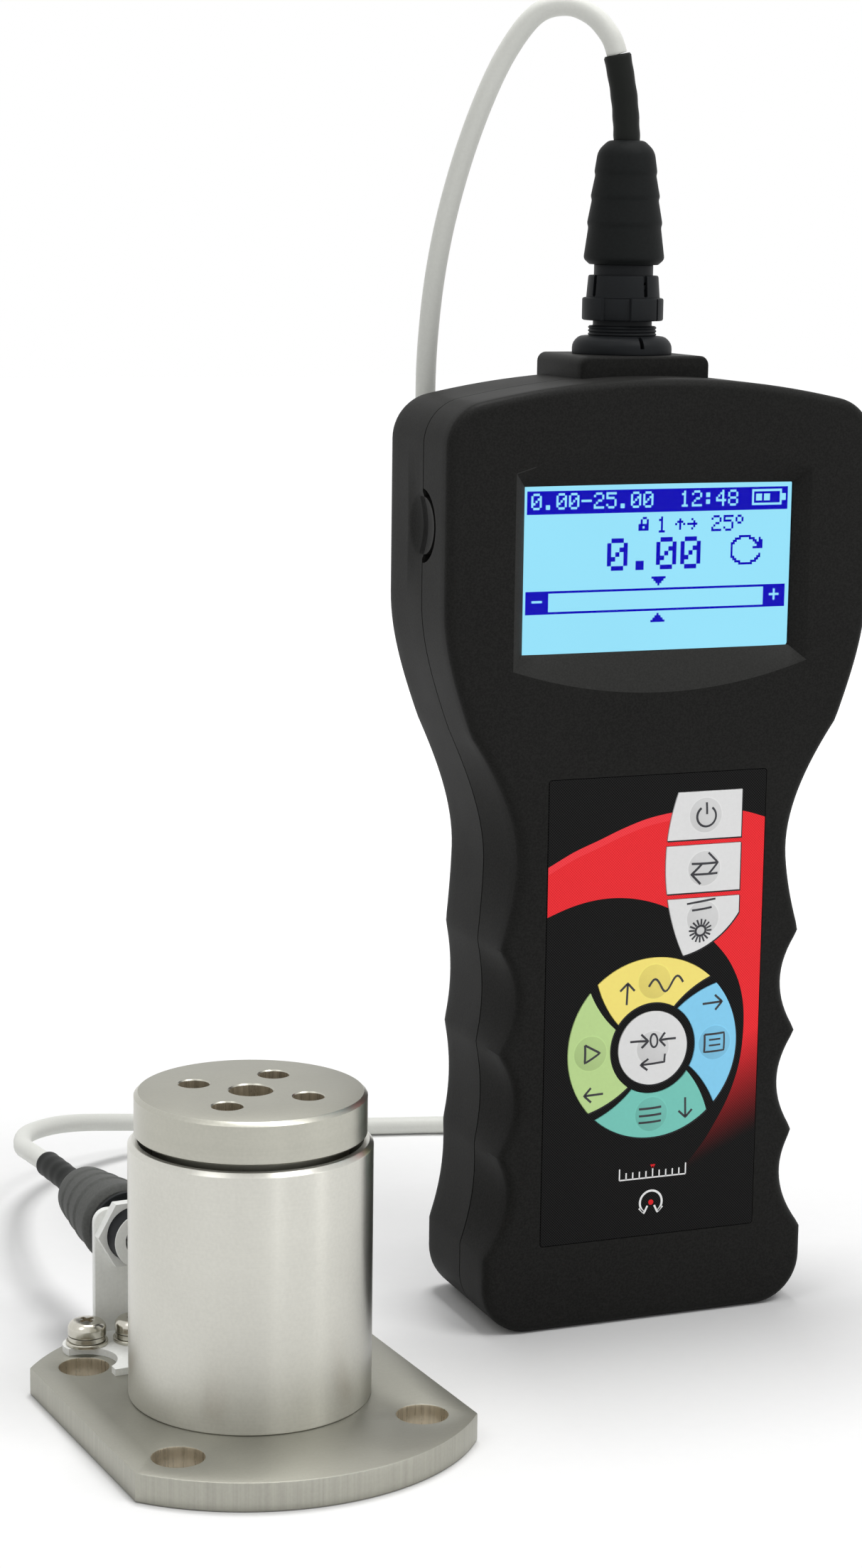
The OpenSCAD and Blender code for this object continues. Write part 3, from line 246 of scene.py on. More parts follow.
def make_groups():
    # Moulded grain: fine even pits, and a slow cloudy change of tone and shine
    g, i, o = group("Moulded grain", [("Color", COLOUR, (0.1, 0.1, 0.1)), ("Grain size", VALUE, 2200.0),
                                      ("Tone", VALUE, 0.12), ("Roughness", VALUE, 0.6)], FINISH)
    at = g.place()
    grain = g.noise(at, i["Grain size"], 2.0, 0.6)
    cloud = g.noise(at, 28.0, 3.0, 0.6)
    fine = g.span(grain, 0.35, 0.65)
    mixed = g.math("ADD", g.math("MULTIPLY", fine, 0.7), g.math("MULTIPLY", cloud, 0.6))
    base = g.math("SUBTRACT", 1.0, g.math("MULTIPLY", i["Tone"], 0.62))
    tone = g.math("MULTIPLY_ADD", mixed, i["Tone"], base)
    g.set(o["Color"], g.shade(i["Color"], tone))
    swing = g.math("SUBTRACT", cloud, 0.5)
    g.set(o["Roughness"], g.math("MULTIPLY_ADD", swing, 0.22, i["Roughness"], clamp=True))
    g.set(o["Height"], grain)

    # Machined metal: fine tool lines along one direction, with blotches and specks
    g, i, o = group("Machined metal", [("Color", COLOUR, (0.6, 0.6, 0.6)), ("Lines", VALUE, 0.5),
                                       ("Roughness", VALUE, 0.35),
                                       ("Place", "NodeSocketVector", (0, 0, 0))], FINISH)
    lines = g.noise(i["Place"], 1.0, 4.0, 0.7)
    at = g.place()
    blotch = g.noise(at, 45.0, 3.0, 0.55)
    speck = g.span(g.noise(at, 1500.0, 1.0, 0.5), 0.3, 0.7)
    level = g.math("ADD", g.math("MULTIPLY", g.math("SUBTRACT", lines, 0.5), i["Lines"]),
                   g.math("ADD", g.math("MULTIPLY", g.math("SUBTRACT", blotch, 0.5), 0.14),
                          g.math("MULTIPLY", g.math("SUBTRACT", speck, 0.5), 0.05)))
    tone = g.math("ADD", level, 1.0)
    g.set(o["Color"], g.shade(i["Color"], tone))
    g.set(o["Roughness"], g.math("MULTIPLY_ADD", level, 0.35, i["Roughness"], clamp=True))
    g.set(o["Height"], lines)

    # Diamond weave printed and embossed on the overlay film
    g, i, o = group("Diamond weave", [("Light", COLOUR, (0.1, 0.1, 0.1)), ("Dark", COLOUR, (0.0, 0.0, 0.0)),
                                      ("Pitch", VALUE, 0.62 * MM)], FINISH)
    at = g.split(g.place())
    turn = g.math("DIVIDE", 2 * math.pi, i["Pitch"])
    a, b = (g.math("SINE", g.math("MULTIPLY", g.math(kind, at["X"], at["Z"]), turn))
            for kind in ("ADD", "SUBTRACT"))
    cell = g.span(g.math("ADD", a, b), -0.9, 0.7)
    g.set(o["Color"], g.mix(cell, i["Dark"], i["Light"]))
    g.set(o["Roughness"], g.span(cell, 0.0, 1.0, 0.62, 0.5))
    g.set(o["Height"], cell)


def shader_of(material):
    return next(n for n in material.node_tree.nodes if n.type == "BSDF_PRINCIPLED")


def principled(name, finish, values, bump=0.0, distance=0.05, base=None, **plain):
    """A material whose colour, roughness and bump come from a finish group."""
    material = FINISHES[name] = bpy.data.materials.new(name)
    material.use_nodes = True
    g = Graph(material.node_tree)
    shader = shader_of(material)
    for label, value in plain.items():
        shader.inputs[label.replace("_", " ")].default_value = value
    node = g.add("ShaderNodeGroup", node_tree=bpy.data.node_groups[finish])
    for label, value in values.items():
        g.set(node.inputs[label], value(g) if callable(value) else value)
    g.set(shader.inputs["Base Color"], base(g, node) if base else node.outputs["Color"])
    g.set(shader.inputs["Roughness"], node.outputs["Roughness"])
    if bump:
        relief = g.add("ShaderNodeBump")
        relief.inputs["Strength"].default_value = bump
        relief.inputs["Distance"].default_value = distance * MM
        g.set(relief.inputs["Height"], node.outputs["Height"])
        g.set(shader.inputs["Normal"], relief.outputs[0])
    return material


def moulded(name, color, grain=2200.0, tone=0.12, rough=0.6, bump=0.12, specular=0.2, **more):
    return principled(name, "Moulded grain",
                      {"Color": tuple(color), "Grain size": grain, "Tone": tone, "Roughness": rough}, bump,
                      Specular_IOR_Level=specular, **more)


def metal(name, color, scale, rough=0.35, lines=0.3, bump=0.05, turned=False, **more):
    """Satin metal; where it is turned on the sensor's axis, scale runs over radius and height."""
    def place(g):
        if not turned:
            return g.place(scale)
        at = g.split(g.point())
        squares = (g.math("MULTIPLY", at[axis], at[axis]) for axis in "XY")
        join = g.add("ShaderNodeCombineXYZ")
        g.set(join.inputs[0], g.math("MULTIPLY", g.math("SQRT", g.math("ADD", *squares)), scale[0]))
        g.set(join.inputs[2], g.math("MULTIPLY", at["Z"], scale[2]))
        return join.outputs[0]
    return principled(name, "Machined metal",
                      {"Color": tuple(color), "Lines": lines, "Roughness": rough, "Place": place}, bump, 0.02,
                      **{"Metallic": 1.0, **more})


def lit(name, color, strength=1.0):
    """Backlit display ink: light of its own colour, with a faint unevenness."""
    material = principled(name, "Moulded grain", {"Color": (0.0, 0.0, 0.0), "Grain size": 900.0,
                                                  "Tone": 0.05, "Roughness": 0.4}, Specular_IOR_Level=0.0)
    g, shader = Graph(material.node_tree), shader_of(material)
    cloud = g.span(g.noise(g.place(), 30.0, 1.0), 0.2, 0.8, 0.0, 1.0)
    darker = tuple(c * 0.965 for c in color)
    g.set(shader.inputs["Emission Color"], g.mix(cloud, darker, tuple(color)))
    shader.inputs["Emission Strength"].default_value = strength
    return material


# Mesh helpers

def arc(cx, cy, r, a0, a1, n):
    return [(cx + r * math.cos(math.radians(a0 + (a1 - a0) * i / n)),
             cy + r * math.sin(math.radians(a0 + (a1 - a0) * i / n))) for i in range(n + 1)]


def circle(cx, cy, r, n=64):
    return arc(cx, cy, r, 0, 360, n)[:-1]


def area(loop):
    return sum(a[0] * b[1] - b[0] * a[1] for a, b in zip(loop, loop[1:] + loop[:1])) / 2


def grow(loop, d):
    """A closed outline moved outwards by d, corners mitred."""
    sign = 1 if area(loop) > 0 else -1
    out = []
    for k, p in enumerate(loop):
        a, b = Vector(loop[k - 1]), Vector(loop[(k + 1) % len(loop)])
        u, v = (Vector(p) - a).normalized(), (b - Vector(p)).normalized()
        n1, n2 = Vector((u.y, -u.x)), Vector((v.y, -v.x))
        m = n1 + n2
        m = m / max(m.dot(m) / 2, 0.35)
        out.append((p[0] + sign * d * m.x, p[1] + sign * d * m.y))
    return out


def rounded_box(x0, x1, z0, z1, r, n=6):
    return (arc(x1 - r, z0 + r, r, -90, 0, n) + arc(x1 - r, z1 - r, r, 0, 90, n)
            + arc(x0 + r, z1 - r, r, 90, 180, n) + arc(x0 + r, z0 + r, r, 180, 270, n))


def inside(p, loop):
    x, y, odd = p[0], p[1], False
    for (x0, y0), (x1, y1) in zip(loop, loop[1:] + loop[:1]):
        if (y0 > y) != (y1 > y) and x < (x1 - x0) * (y - y0) / (y1 - y0) + x0:
            odd = not odd
    return odd


def between(outer, holes, finish=0):
    """Picks the plane inside one outline and outside its holes."""
    return lambda p: finish if inside(p, outer) and not any(inside(p, h) for h in holes) else None


def axes_at(degrees):
    """Directions outwards and along the rim, at an angle round a middle."""
    a = math.radians(degrees)
    return Vector((math.cos(a), math.sin(a))), Vector((-math.sin(a), math.cos(a)))


def level_circle(r, z, n, at=(0, 0)):
    return [(at[0] + r * math.cos(2 * math.pi * k / n), at[1] + r * math.sin(2 * math.pi * k / n), z)
            for k in range(n)]


def lift(loop, y):
    """An outline drawn as seen from the front, at depth y."""
    return [(x, y, z) for x, z in loop]


def triangles(loops, pick, lines=()):
    """Fills the plane between closed loops: pick(centre) gives a finish number, or None for a hole."""
    points, edges = [], []
    for loop in loops:
        start = len(points)
        points += [Vector(p) for p in loop]
        edges += [(start + k, start + (k + 1) % len(loop)) for k in range(len(loop))]
    for line in lines:
        start = len(points)
        points += [Vector(p) for p in line]
        edges += [(start + k, start + k + 1) for k in range(len(line) - 1)]
    verts, _, faces, _, _, _ = delaunay_2d_cdt(points, edges, [], 0, 1e-6)
    kept = []
    for face in faces:
        c = sum((verts[k] for k in face), Vector((0, 0))) / len(face)
        which = pick(c)
        if which is not None:
            kept.append((face, which))
    return verts, kept


class Form:
    """Points and faces of one piece, in millimetres of its own frame."""

    def __init__(self):
        self.points, self.faces, self.finish = [], [], []

    def add(self, points, faces, finish=0):
        start = len(self.points)
        self.points += [tuple(p) for p in points]
        self.faces += [[start + k for k in face] for face in faces]
        self.finish += finish if isinstance(finish, list) else [finish] * len(faces)

    def skin(self, rings, finish=0):
        """Bands between rings that have equal numbers of points."""
        n = len(rings[0])
        faces = [[k * n + i, k * n + (i + 1) % n, (k + 1) * n + (i + 1) % n, (k + 1) * n + i]
                 for k in range(len(rings) - 1) for i in range(n)]
        self.add([p for ring in rings for p in ring], faces, finish)

    def sink(self, steps, finish=0):
        """Bands between outlines seen from the front, each with its depth."""
        self.skin([lift(loop, y) for loop, y in steps], finish)

    def rise(self, steps, finish=0):
        """Bands between outlines seen from above, each with its height."""
        self.skin([[(x, y, z) for x, y in loop] for loop, z in steps], finish)

    def plane(self, loops, pick, y, lines=(), height=None):
        """Fills between loops drawn as seen from the front, at depth y."""
        verts, kept = triangles(loops, pick, lines)
        points = [(v.x, y if height is None else height(v.x, v.y), v.y) for v in verts]
        self.add(points, [f for f, _ in kept], [w for _, w in kept])

    def fill(self, outer, holes, y, finish=0):
        """Fills an outline, less its holes, as seen from the front at depth y."""
        self.plane([outer, *holes], between(outer, holes, finish), y)

    def floor(self, outer, holes, z, finish=0):
        """Fills an outline, less its holes, as seen from above at height z."""
        verts, kept = triangles([outer, *holes], between(outer, holes, finish))
        self.add([(v.x, v.y, z) for v in verts], [f for f, _ in kept], [w for _, w in kept])

    def turned(self, profile, n=128, at=(0, 0)):
        """Turns (radius, height) points about an upright axis; a profile that ends at 0 closes."""
        self.skin([level_circle(r, z, n, at) for r, z in profile])

    def move(self, matrix):
        self.points = [tuple(matrix @ Vector(p)) for p in self.points]
        return self


def tidy(obj):
    """Welds, drops flat faces and turns all normals outwards."""
    bm = bmesh.new()
    bm.from_mesh(obj.data)
    bmesh.ops.remove_doubles(bm, verts=bm.verts, dist=2e-6)
    bmesh.ops.dissolve_degenerate(bm, edges=bm.edges, dist=1e-7)
    bmesh.ops.delete(bm, geom=[v for v in bm.verts if not v.link_faces], context="VERTS")
    bmesh.ops.recalc_face_normals(bm, faces=bm.faces)
    bm.to_mesh(obj.data)
    bm.free()


def mesh_of(name, form):
    mesh = bpy.data.meshes.new(name)
    mesh.from_pydata([(x * MM, y * MM, z * MM) for x, y, z in form.points], [], form.faces)
    return mesh


def add_object(name, data):
    obj = bpy.data.objects.new(name, data)
    bpy.context.scene.collection.objects.link(obj)
    return obj


def piece(name, form, materials, nodes=(), body=BODY, place=None, angle=35, slot=None, closed=True):
    """Makes the object, gives it its finishes and hangs it on its body."""
    if place is not None:
        form.move(place)
    mesh = mesh_of(name, form)
    obj = add_object(name, mesh)
    for material in materials:
        mesh.materials.append(material)
    for polygon, which in zip(mesh.polygons, form.finish):
        polygon.material_index = which
    if closed:
        tidy(obj)
    smooth(obj, angle)
    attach(obj, body)
    if nodes:
        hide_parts(*nodes)
    return obj


def smooth(obj, angle=35):
    for polygon in obj.data.polygons:
        polygon.use_smooth = True
    obj.data.set_sharp_from_angle(angle=math.radians(angle))


def cut(obj, cutters):
    """Takes the cutter forms out of a piece, and keeps its smooth shading."""
    for form in cutters:
        tool = add_object("cutter", mesh_of("cutter", form))
        tidy(tool)
        modifier = obj.modifiers.new("cut", "BOOLEAN")
        modifier.operation, modifier.object, modifier.solver = "DIFFERENCE", tool, "EXACT"
        bpy.context.view_layer.update()
        shaped = bpy.data.meshes.new_from_object(obj.evaluated_get(bpy.context.evaluated_depsgraph_get()))
        obj.modifiers.clear()
        old, obj.data = obj.data, shaped
        bpy.data.meshes.remove(old)
        bpy.data.objects.remove(tool)
    smooth(obj, 32)


def soften(profile, r, n=3):
    """Rounds the corners of an open profile; a point's third value sets its own radius."""
    out = [tuple(profile[0][:2])]
    for a, p, b in zip(profile, profile[1:], profile[2:]):
        own = p[2] if len(p) > 2 else r
        q, u, v = Vector(p[:2]), Vector(a[:2]) - Vector(p[:2]), Vector(b[:2]) - Vector(p[:2])
        if own <= 0 or u.length < 1e-6 or v.length < 1e-6:
            out.append(tuple(q))
            continue
        d = min(own, u.length * 0.45, v.length * 0.45)
        s, e = q + u.normalized() * d, q + v.normalized() * d
        for k in range(n + 1):
            t = k / n
            out.append(tuple(s * (1 - t) ** 2 + q * 2 * t * (1 - t) + e * t * t))
    out.append(tuple(profile[-1][:2]))
    return out


def finish_node(name, material):
    """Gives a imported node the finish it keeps."""
    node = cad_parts[name]
    node.data.materials.clear()
    node.data.materials.append(material)


def settings():
    return bpy.context.scene.torque_tester


# Finishes by name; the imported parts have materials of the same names
FINISHES = {}


# Stage

# Place of the camera in metres, its heading, and its tilt down and roll in degrees
EYE, HEADING, PITCH, ROLL = (-0.18937, -0.57747, 0.24404), (0.36673, 0.93033, 0), 10.334, 0.774
# Place of each lamp, the point it faces, and its width and height, in metres, and its power in watts
LAMPS = {
    "lamp_key": ((-0.8, -0.35, 1.2), (0.03, 0.05, 0.08), 0.5, 0.6, None),
    "lamp_top": ((0.12, 0.22, 1.2), (0.07, 0.02, 0.0), 0.35, 0.35, 7.2),
    "lamp_fill": ((0.5, -0.6, 1.3), (0.08, 0.02, 0.12), 0.6, 0.5, 6.2),
    "lamp_right": ((0.85, -0.75, 0.35), (0.05, 0.05, 0.1), 0.12, 0.6, 0.6),
    "lamp_front": ((0.12, -1.05, 0.35), (0.05, 0.05, 0.1), 0.04, 0.6, 0.3),
}
FLOOR_HALF, FLOOR_Z = 4000, -0.05


class TORQUE_OT_stage(Operator):
    """Camera, floor, sky and lamps"""
    bl_idname = "torque.stage"
    bl_label = "Stage and camera"

    def execute(self, context):
        s = settings().stage
        scene = context.scene
        scene.view_settings.view_transform = "Standard"
        camera = bpy.data.cameras.new("camera")
        camera.sensor_fit, camera.sensor_height, camera.lens = "VERTICAL", 24, s.lens
        camera.clip_start, camera.clip_end = 0.01, 20
        eye = add_object("camera", camera)
        pitch = math.radians(PITCH)
        ahead = Vector(HEADING).normalized() * math.cos(pitch) + Vector((0, 0, -math.sin(pitch)))
        right = ahead.cross(Vector((0, 0, 1))).normalized()
        up = right.cross(ahead)
        axes = Matrix((right, up, -ahead)).transposed().to_4x4() @ Matrix.Rotation(math.radians(ROLL), 4, "Z")
        eye.matrix_world = Matrix.Translation(EYE) @ axes
        scene.camera = eye

        world = bpy.data.worlds.new("sky")
        scene.world = world
        world.use_nodes = True
        world.node_tree.nodes.clear()
        g = Graph(world.node_tree)
        soft, plain = g.add("ShaderNodeBackground"), g.add("ShaderNodeBackground")
        soft.inputs["Color"].default_value = plain.inputs["Color"].default_value = (1, 1, 1, 1)
        soft.inputs["Strength"].default_value = s.sky
        join = g.add("ShaderNodeMixShader")
        g.set(join.inputs[0], g.seen())
        g.set(join.inputs[1], soft.outputs[0])
        g.set(join.inputs[2], plain.outputs[0])
        g.set(g.add("ShaderNodeOutputWorld").inputs[0], join.outputs[0])

        form = Form()
        corners = [(-1, -1), (1, -1), (1, 1), (-1, 1)]
        form.add([(x * FLOOR_HALF, y * FLOOR_HALF, FLOOR_Z) for x, y in corners], [[0, 1, 2, 3]])
        floor = add_object("floor", mesh_of("floor", form))
        paper = moulded("floor_paper", (0.85, 0.85, 0.85), 300, 0.01, 1.0, 0, 0.0)
        floor.data.materials.append(paper)
        g = Graph(paper.node_tree)
        glow = g.add("ShaderNodeEmission")
        far = g.add("ShaderNodeVectorMath", operation="LENGTH")
        g.set(far.inputs[0], g.point())
        level = g.span(far.outputs["Value"], 0.16, 1.1, 0.0, s.paper)
        g.set(glow.inputs["Strength"], g.math("MULTIPLY", g.seen(), level))
        join = g.add("ShaderNodeAddShader")
        out = next(n for n in paper.node_tree.nodes if n.type == "OUTPUT_MATERIAL")
        g.set(join.inputs[0], out.inputs["Surface"].links[0].from_socket)
        g.set(join.inputs[1], glow.outputs[0])
        g.set(out.inputs["Surface"], join.outputs[0])

        for name, (at, towards, width, height, power) in LAMPS.items():
            lamp = bpy.data.lights.new(name, "AREA")
            lamp.shape, lamp.size, lamp.size_y = "RECTANGLE", width, height
            lamp.energy = s.key_light if power is None else power
            obj = add_object(name, lamp)
            obj.location = at
            obj.rotation_euler = (Vector(towards) - Vector(at)).to_track_quat("-Z", "Y").to_euler()
        return {"FINISHED"}


# Cable

CORD = [(99.5, 51, 279.5), (98, 51.6, 283.5), (94.5, 53.5, 287.8), (89.5, 56, 289.8), (84, 59.5, 288),
        (79, 63, 280.5), (74.5, 66, 269.5), (70.5, 69.5, 255), (67.5, 72.5, 239), (66, 75, 222),
        (66, 77, 203), (68.5, 80, 175), (76, 84, 140), (86, 90, 100), (98, 98, 60), (112, 110, 30),
        (127, 124, 11), (137, 139, 3.5), (138, 154, 2.4), (129, 167, 2.4), (114, 174.5, 2.4),
        (96, 179.5, 2.4), (75, 184, 3), (50, 186, 5.5), (25, 182, 9.5), (6, 171, 14), (-8, 153, 18),
        (-15.5, 129, 22.5), (-18.5, 108, 27), (-18.8, 92, 29.2)]
PLUG_SLEEVE = [(102, 50.5, 258), (102, 50.5, 262), (101.2, 50.6, 270.5), (99.5, 51, 279.5)]
SENSOR_SLEEVE = [(-18.8, 92, 29.2), (-18.1, 83, 29.5), (-17.3, 74, 29.5), (-16.5, 64, 29.5)]


def route(points, steps):
    """Smooth way through the points."""
    p = [Vector(q) for q in points]
    out = []
    for i in range(len(p) - 1):
        a, b, c, d = p[max(i - 1, 0)], p[i], p[i + 1], p[min(i + 2, len(p) - 1)]
        for s in range(steps):
            t = s / steps
            bend, twist = 2 * a - 5 * b + 4 * c - d, 3 * b - a - 3 * c + d
            out.append(b + ((c - a) * t + bend * t * t + twist * t ** 3) / 2)
    return out + [p[-1]]


def tube(points, radii, sides=32):
    """Rings round a way; radii is one value, or one for each point."""
    n, normal, rings = len(points), None, []
    for i, p in enumerate(points):
        t = (points[min(i + 1, n - 1)] - points[max(i - 1, 0)]).normalized()
        normal = (Vector((0, 1, 0)) + t / 2) if normal is None else normal
        normal = (normal - t * normal.dot(t)).normalized()
        other = t.cross(normal)
        r = radii[i] if isinstance(radii, list) else radii
        rings.append([p + r * (math.cos(a) * normal + math.sin(a) * other)
                      for a in (2 * math.pi * k / sides for k in range(sides))])
    return rings


def capped(rings):
    """A closed tube form with flat ends."""
    form = Form()
    form.skin(rings)
    n = len(rings[0])
    form.add(rings[0], [list(range(n))])
    form.add(rings[-1], [list(range(n))[::-1]])
    return form


class TORQUE_OT_cable(Operator):
    """Cable between the indicator and the sensor"""
    bl_idname = "torque.cable"
    bl_label = "Cable"

    def execute(self, context):
        s = settings().cable
        jacket = moulded("cable", s.jacket, 1500, 0.05, 0.5, 0.05, 0.4)
        way = route(CORD, 10)
        length = sum((b - a).length for a, b in zip(way, way[1:])) * MM
        curve = bpy.data.curves.new("cable", "CURVE")
        curve.dimensions, curve.bevel_depth, curve.bevel_resolution = "3D", s.diameter / 2, 8
        curve.use_fill_caps = True
        spline = curve.splines.new("POLY")
        spline.points.add(len(way) - 1)
        for point, p in zip(spline.points, way):
            point.co = (*(p * MM), 1)
        spline.use_smooth = True
        curve.materials.append(jacket)
        cable = add_object("cable", curve)
        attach(cable, BODY)
        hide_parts("cord")
        return {"FINISHED"}


# Housing

def ease(t):
    t = min(max(t, 0), 1)
    return t * t * (3 - 2 * t)


def soft_share(t):
    """Depth of a scallop along its length; the ridges between scallops are slightly rounded."""
    q = 4 * t * (1 - t)
    return (math.sqrt(q * q + 0.0064) - 0.08) / 0.9232


def housing_edge(h):
    """Right edge of the housing from the bottom up: x, z, share of a scallop's depth."""
    head, grip, foot, top = mm(h, "head_w") / 2, mm(h, "grip_w") / 2, mm(h, "foot_w") / 2, mm(h, "height")
    edge = [(x, z, 0) for x, z in arc(foot - 11, 11, 11, -90, 0, 12)]
    ridges = [foot, grip, grip, grip]
    for k in range(3):
        for i in range(16):
            t = i / 16
            edge.append((ridges[k] + (ridges[k + 1] - ridges[k]) * t, 17.6 + 23.3 * (k + t), soft_share(t)))
    for i in range(41):
        z = 87.5 + 75.5 * i / 40
        t = min((z - 87.5) / 47.5, 1)
        share = soft_share(t) if t < 0.5 else 4 * t * (1 - t)
        edge.append((grip + (head - grip) * ease((z - 104) / 59), z, share))
    slope = math.degrees(math.atan(2 * 6.5 * (head - 10) / head ** 2))
    end = head - 10 + 10 * math.sin(math.radians(slope))
    centre = top - 6.5 * (end / head) ** 2 - 10 * math.cos(math.radians(slope))
    edge += [(x, z, 0) for x, z in arc(head - 10, centre, 10, 0, 90 - slope, 12)]
    edge += [(end * (1 - i / 14), top - 6.5 * (end * (1 - i / 14) / head) ** 2, 0) for i in range(1, 15)]
    return edge


def housing_ring(edge, y, d):
    """The outline at depth y, moved inwards by d, as one closed ring."""
    side = []
    for i, p in enumerate(edge):
        a = (-edge[0][0], edge[0][1]) if i == 0 else edge[i - 1]
        b = (-edge[-2][0], edge[-2][1]) if i == len(edge) - 1 else edge[i + 1]
        t = Vector((b[0] - a[0], b[1] - a[1])).normalized()
        dent = p[2] * (1.2 + 3 * max(0, 1 - y / 15))
        side.append((max(p[0] - dent - d * t.y, 0), y, p[1] + d * t.x))
    return side + [(-x, y, z) for x, _, z in side[-2::-1]]


def flat(ring):
    return [(p[0], p[2]) for p in ring]


def boss_rings(y0, y1, low=205.0, top=215.2, half=15.3):
    """Connector boss: rounded upper corners and small rounds on its front and rear edges."""
    def outline(d):
        loop = [(half - d, low)] + arc(half - 2.0, top - 2.0, 2.0 - d, 0, 90, 6)
        return loop + [(-x, z) for x, z in loop[::-1]]
    rings = []
    for y, d in ((y0, 0.7), (y0 + 0.08, 0.42), (y0 + 0.3, 0.15), (y0 + 0.7, 0.0), (y1 - 0.7, 0.0),
                 (y1 - 0.3, 0.15), (y1 - 0.08, 0.42), (y1, 0.7)):
        rings.append([(x, y, z) for x, z in outline(d)])
    return rings


def bezel_loop(y, d):
    """Display recess at depth y: straight sides, crowned upper and lower edges."""
    share = 1 - y / 3
    w = mm(d, "glass_w") + (mm(d, "bezel_w") - mm(d, "glass_w")) * share
    h = mm(d, "glass_h") + (mm(d, "bezel_h") - mm(d, "glass_h")) * share
    bulge = mm(d, "bulge") * (share + (1 - share) * 0.02)
    c, n = mm(d, "centre"), 16
    xs = [w / 2 * (-1 + 2 * k / n) for k in range(n + 1)]
    low = [(x, c - h / 2 - bulge * (1 - (2 * x / w) ** 2)) for x in xs]
    high = [(x, c + h / 2 + bulge * (1 - (2 * x / w) ** 2)) for x in xs[::-1]]
    return low + high


# Tongue of a release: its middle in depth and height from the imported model's origin, its reach from the
# indicator's middle, its radius, and the radius of the round dish that is sunk 1.3 mm into the side
TONGUE_Y, TONGUE_Z, SIDE, TONGUE_R, DISH_R = 40.9, 179.3, 50.5, 6.2, 21


def side_bore(start, end, r):
    """A cutter along X at the height of a tongue."""
    return capped([[(x, y, z) for y, z, x in
                    level_circle(r, INDICATOR.translation.x + reach, 96, (TONGUE_Y, TONGUE_Z))]
                   for reach in (start, end)])


def dish(side, n=96):
    """A ball that cuts the round hollow at a tongue."""
    form = Form()
    form.turned([(DISH_R * math.sin(math.pi * k / 60), -DISH_R * math.cos(math.pi * k / 60))
                 for k in range(61)], n)
    x = INDICATOR.translation.x + side * (SIDE + DISH_R - 1.3)
    form.points = [(x + c, TONGUE_Y + a, TONGUE_Z + b) for a, b, c in form.points]
    return form


# Gap between the overlay and its recess, and the depth of the recess
FILM_GAP, RECESS_Y = 0.15, 1.9


class TORQUE_OT_front_shell(Operator):
    """Front shell with the display recess, the keypad recess and half of the connector boss"""
    bl_idname = "torque.front_shell"
    bl_label = "Front shell"

    def execute(self, context):
        h, d, k = settings().housing, settings().display, settings().keypad
        plastic = moulded("housing", h.shell, 2300, 0.6, 0.5, 0.3, 0.05)
        edge, split, r = housing_edge(h), mm(h, "split"), mm(h, "front_round")
        groove, wall = mm(h, "groove"), mm(h, "wall")
        form = Form()
        quarter = [math.radians(15 * i) for i in range(7)]
        steps = [(r * (1 - math.cos(a)), r * (1 - math.sin(a))) for a in quarter]
        steps += [(r + (split - 0.2 - r) * i / 5, 0) for i in range(1, 6)]
        steps += [(split - 0.14, 0.05), (split - 0.12, groove), (split, groove), (split, wall), (4, wall)]
        outer = [housing_ring(edge, y, inset) for y, inset in steps]
        form.skin(outer)
        mouth = bezel_loop(0, d)
        half = mm(k, "width") / 2 + FILM_GAP
        recess = rounded_box(-half, half, mm(k, "low") - FILM_GAP, mm(k, "high") + FILM_GAP, 0.75)
        form.fill(flat(outer[0]), [mouth, recess], 0)
        # Bevelled recess, pane seat and the opening behind it
        lip = bezel_loop(2.99, d)
        slope = len(form.faces)
        form.sink([(mouth, 0), (bezel_loop(0.12, d), 0.06), (lip, 3)])
        w, g, c = mm(d, "glass_w") / 2, mm(d, "glass_h") / 2, mm(d, "centre")
        # The lower and left slopes of the recess take finish 1, a lighter plastic: painted light where the
        # lamps fall on them
        for q in range(slope, len(form.faces)):
            x, z = (sum(form.points[v][axis] for v in form.faces[q]) / 4 for axis in (0, 2))
            form.finish[q] = 1 if z < c - g or x < -w else 0
        w, g = w + 2.55, g + 2.55
        seat = [(-w, c - g), (w, c - g), (w, c + g), (-w, c + g)]
        form.fill(seat, [lip], 3)
        form.sink([(seat, 3), (seat, 4)])
        form.fill(flat(outer[-1]), [seat], 4)
        # Keypad recess
        form.sink([(recess, 0), (recess, RECESS_Y)])
        form.fill(recess, [], RECESS_Y)
        # Slightly smoother and glossier plastic, painted almost twice as light as the shell: painted light on
        # the lit slopes
        slope_painted_light = moulded("recess_painted_light", tuple(q * 1.9 for q in h.shell), 2600, 0.4, 0.46, 0.2, 0.1)
        shell = piece("front_shell", form, [plastic, slope_painted_light], ["front_housing"], place=INDICATOR, angle=32,
                      slot="housing")
        cut(shell, [side_bore(46, 52, 8), side_bore(-52, -46, 8)])
        rings = boss_rings(12.1, 16.4, 209.0)
        piece("boss_front", capped(rings[:4] + [[(x, split, z) for x, _, z in rings[4]]]), [plastic],
              place=INDICATOR, angle=40, slot="housing")
        return {"FINISHED"}


# Screw wells, from the middle of the indicator's back
POSTS = [(40.5, 196.6), (-40.5, 196.6), (33.5, 132), (-33.5, 132), (28.3, 11), (-28.3, 11)]


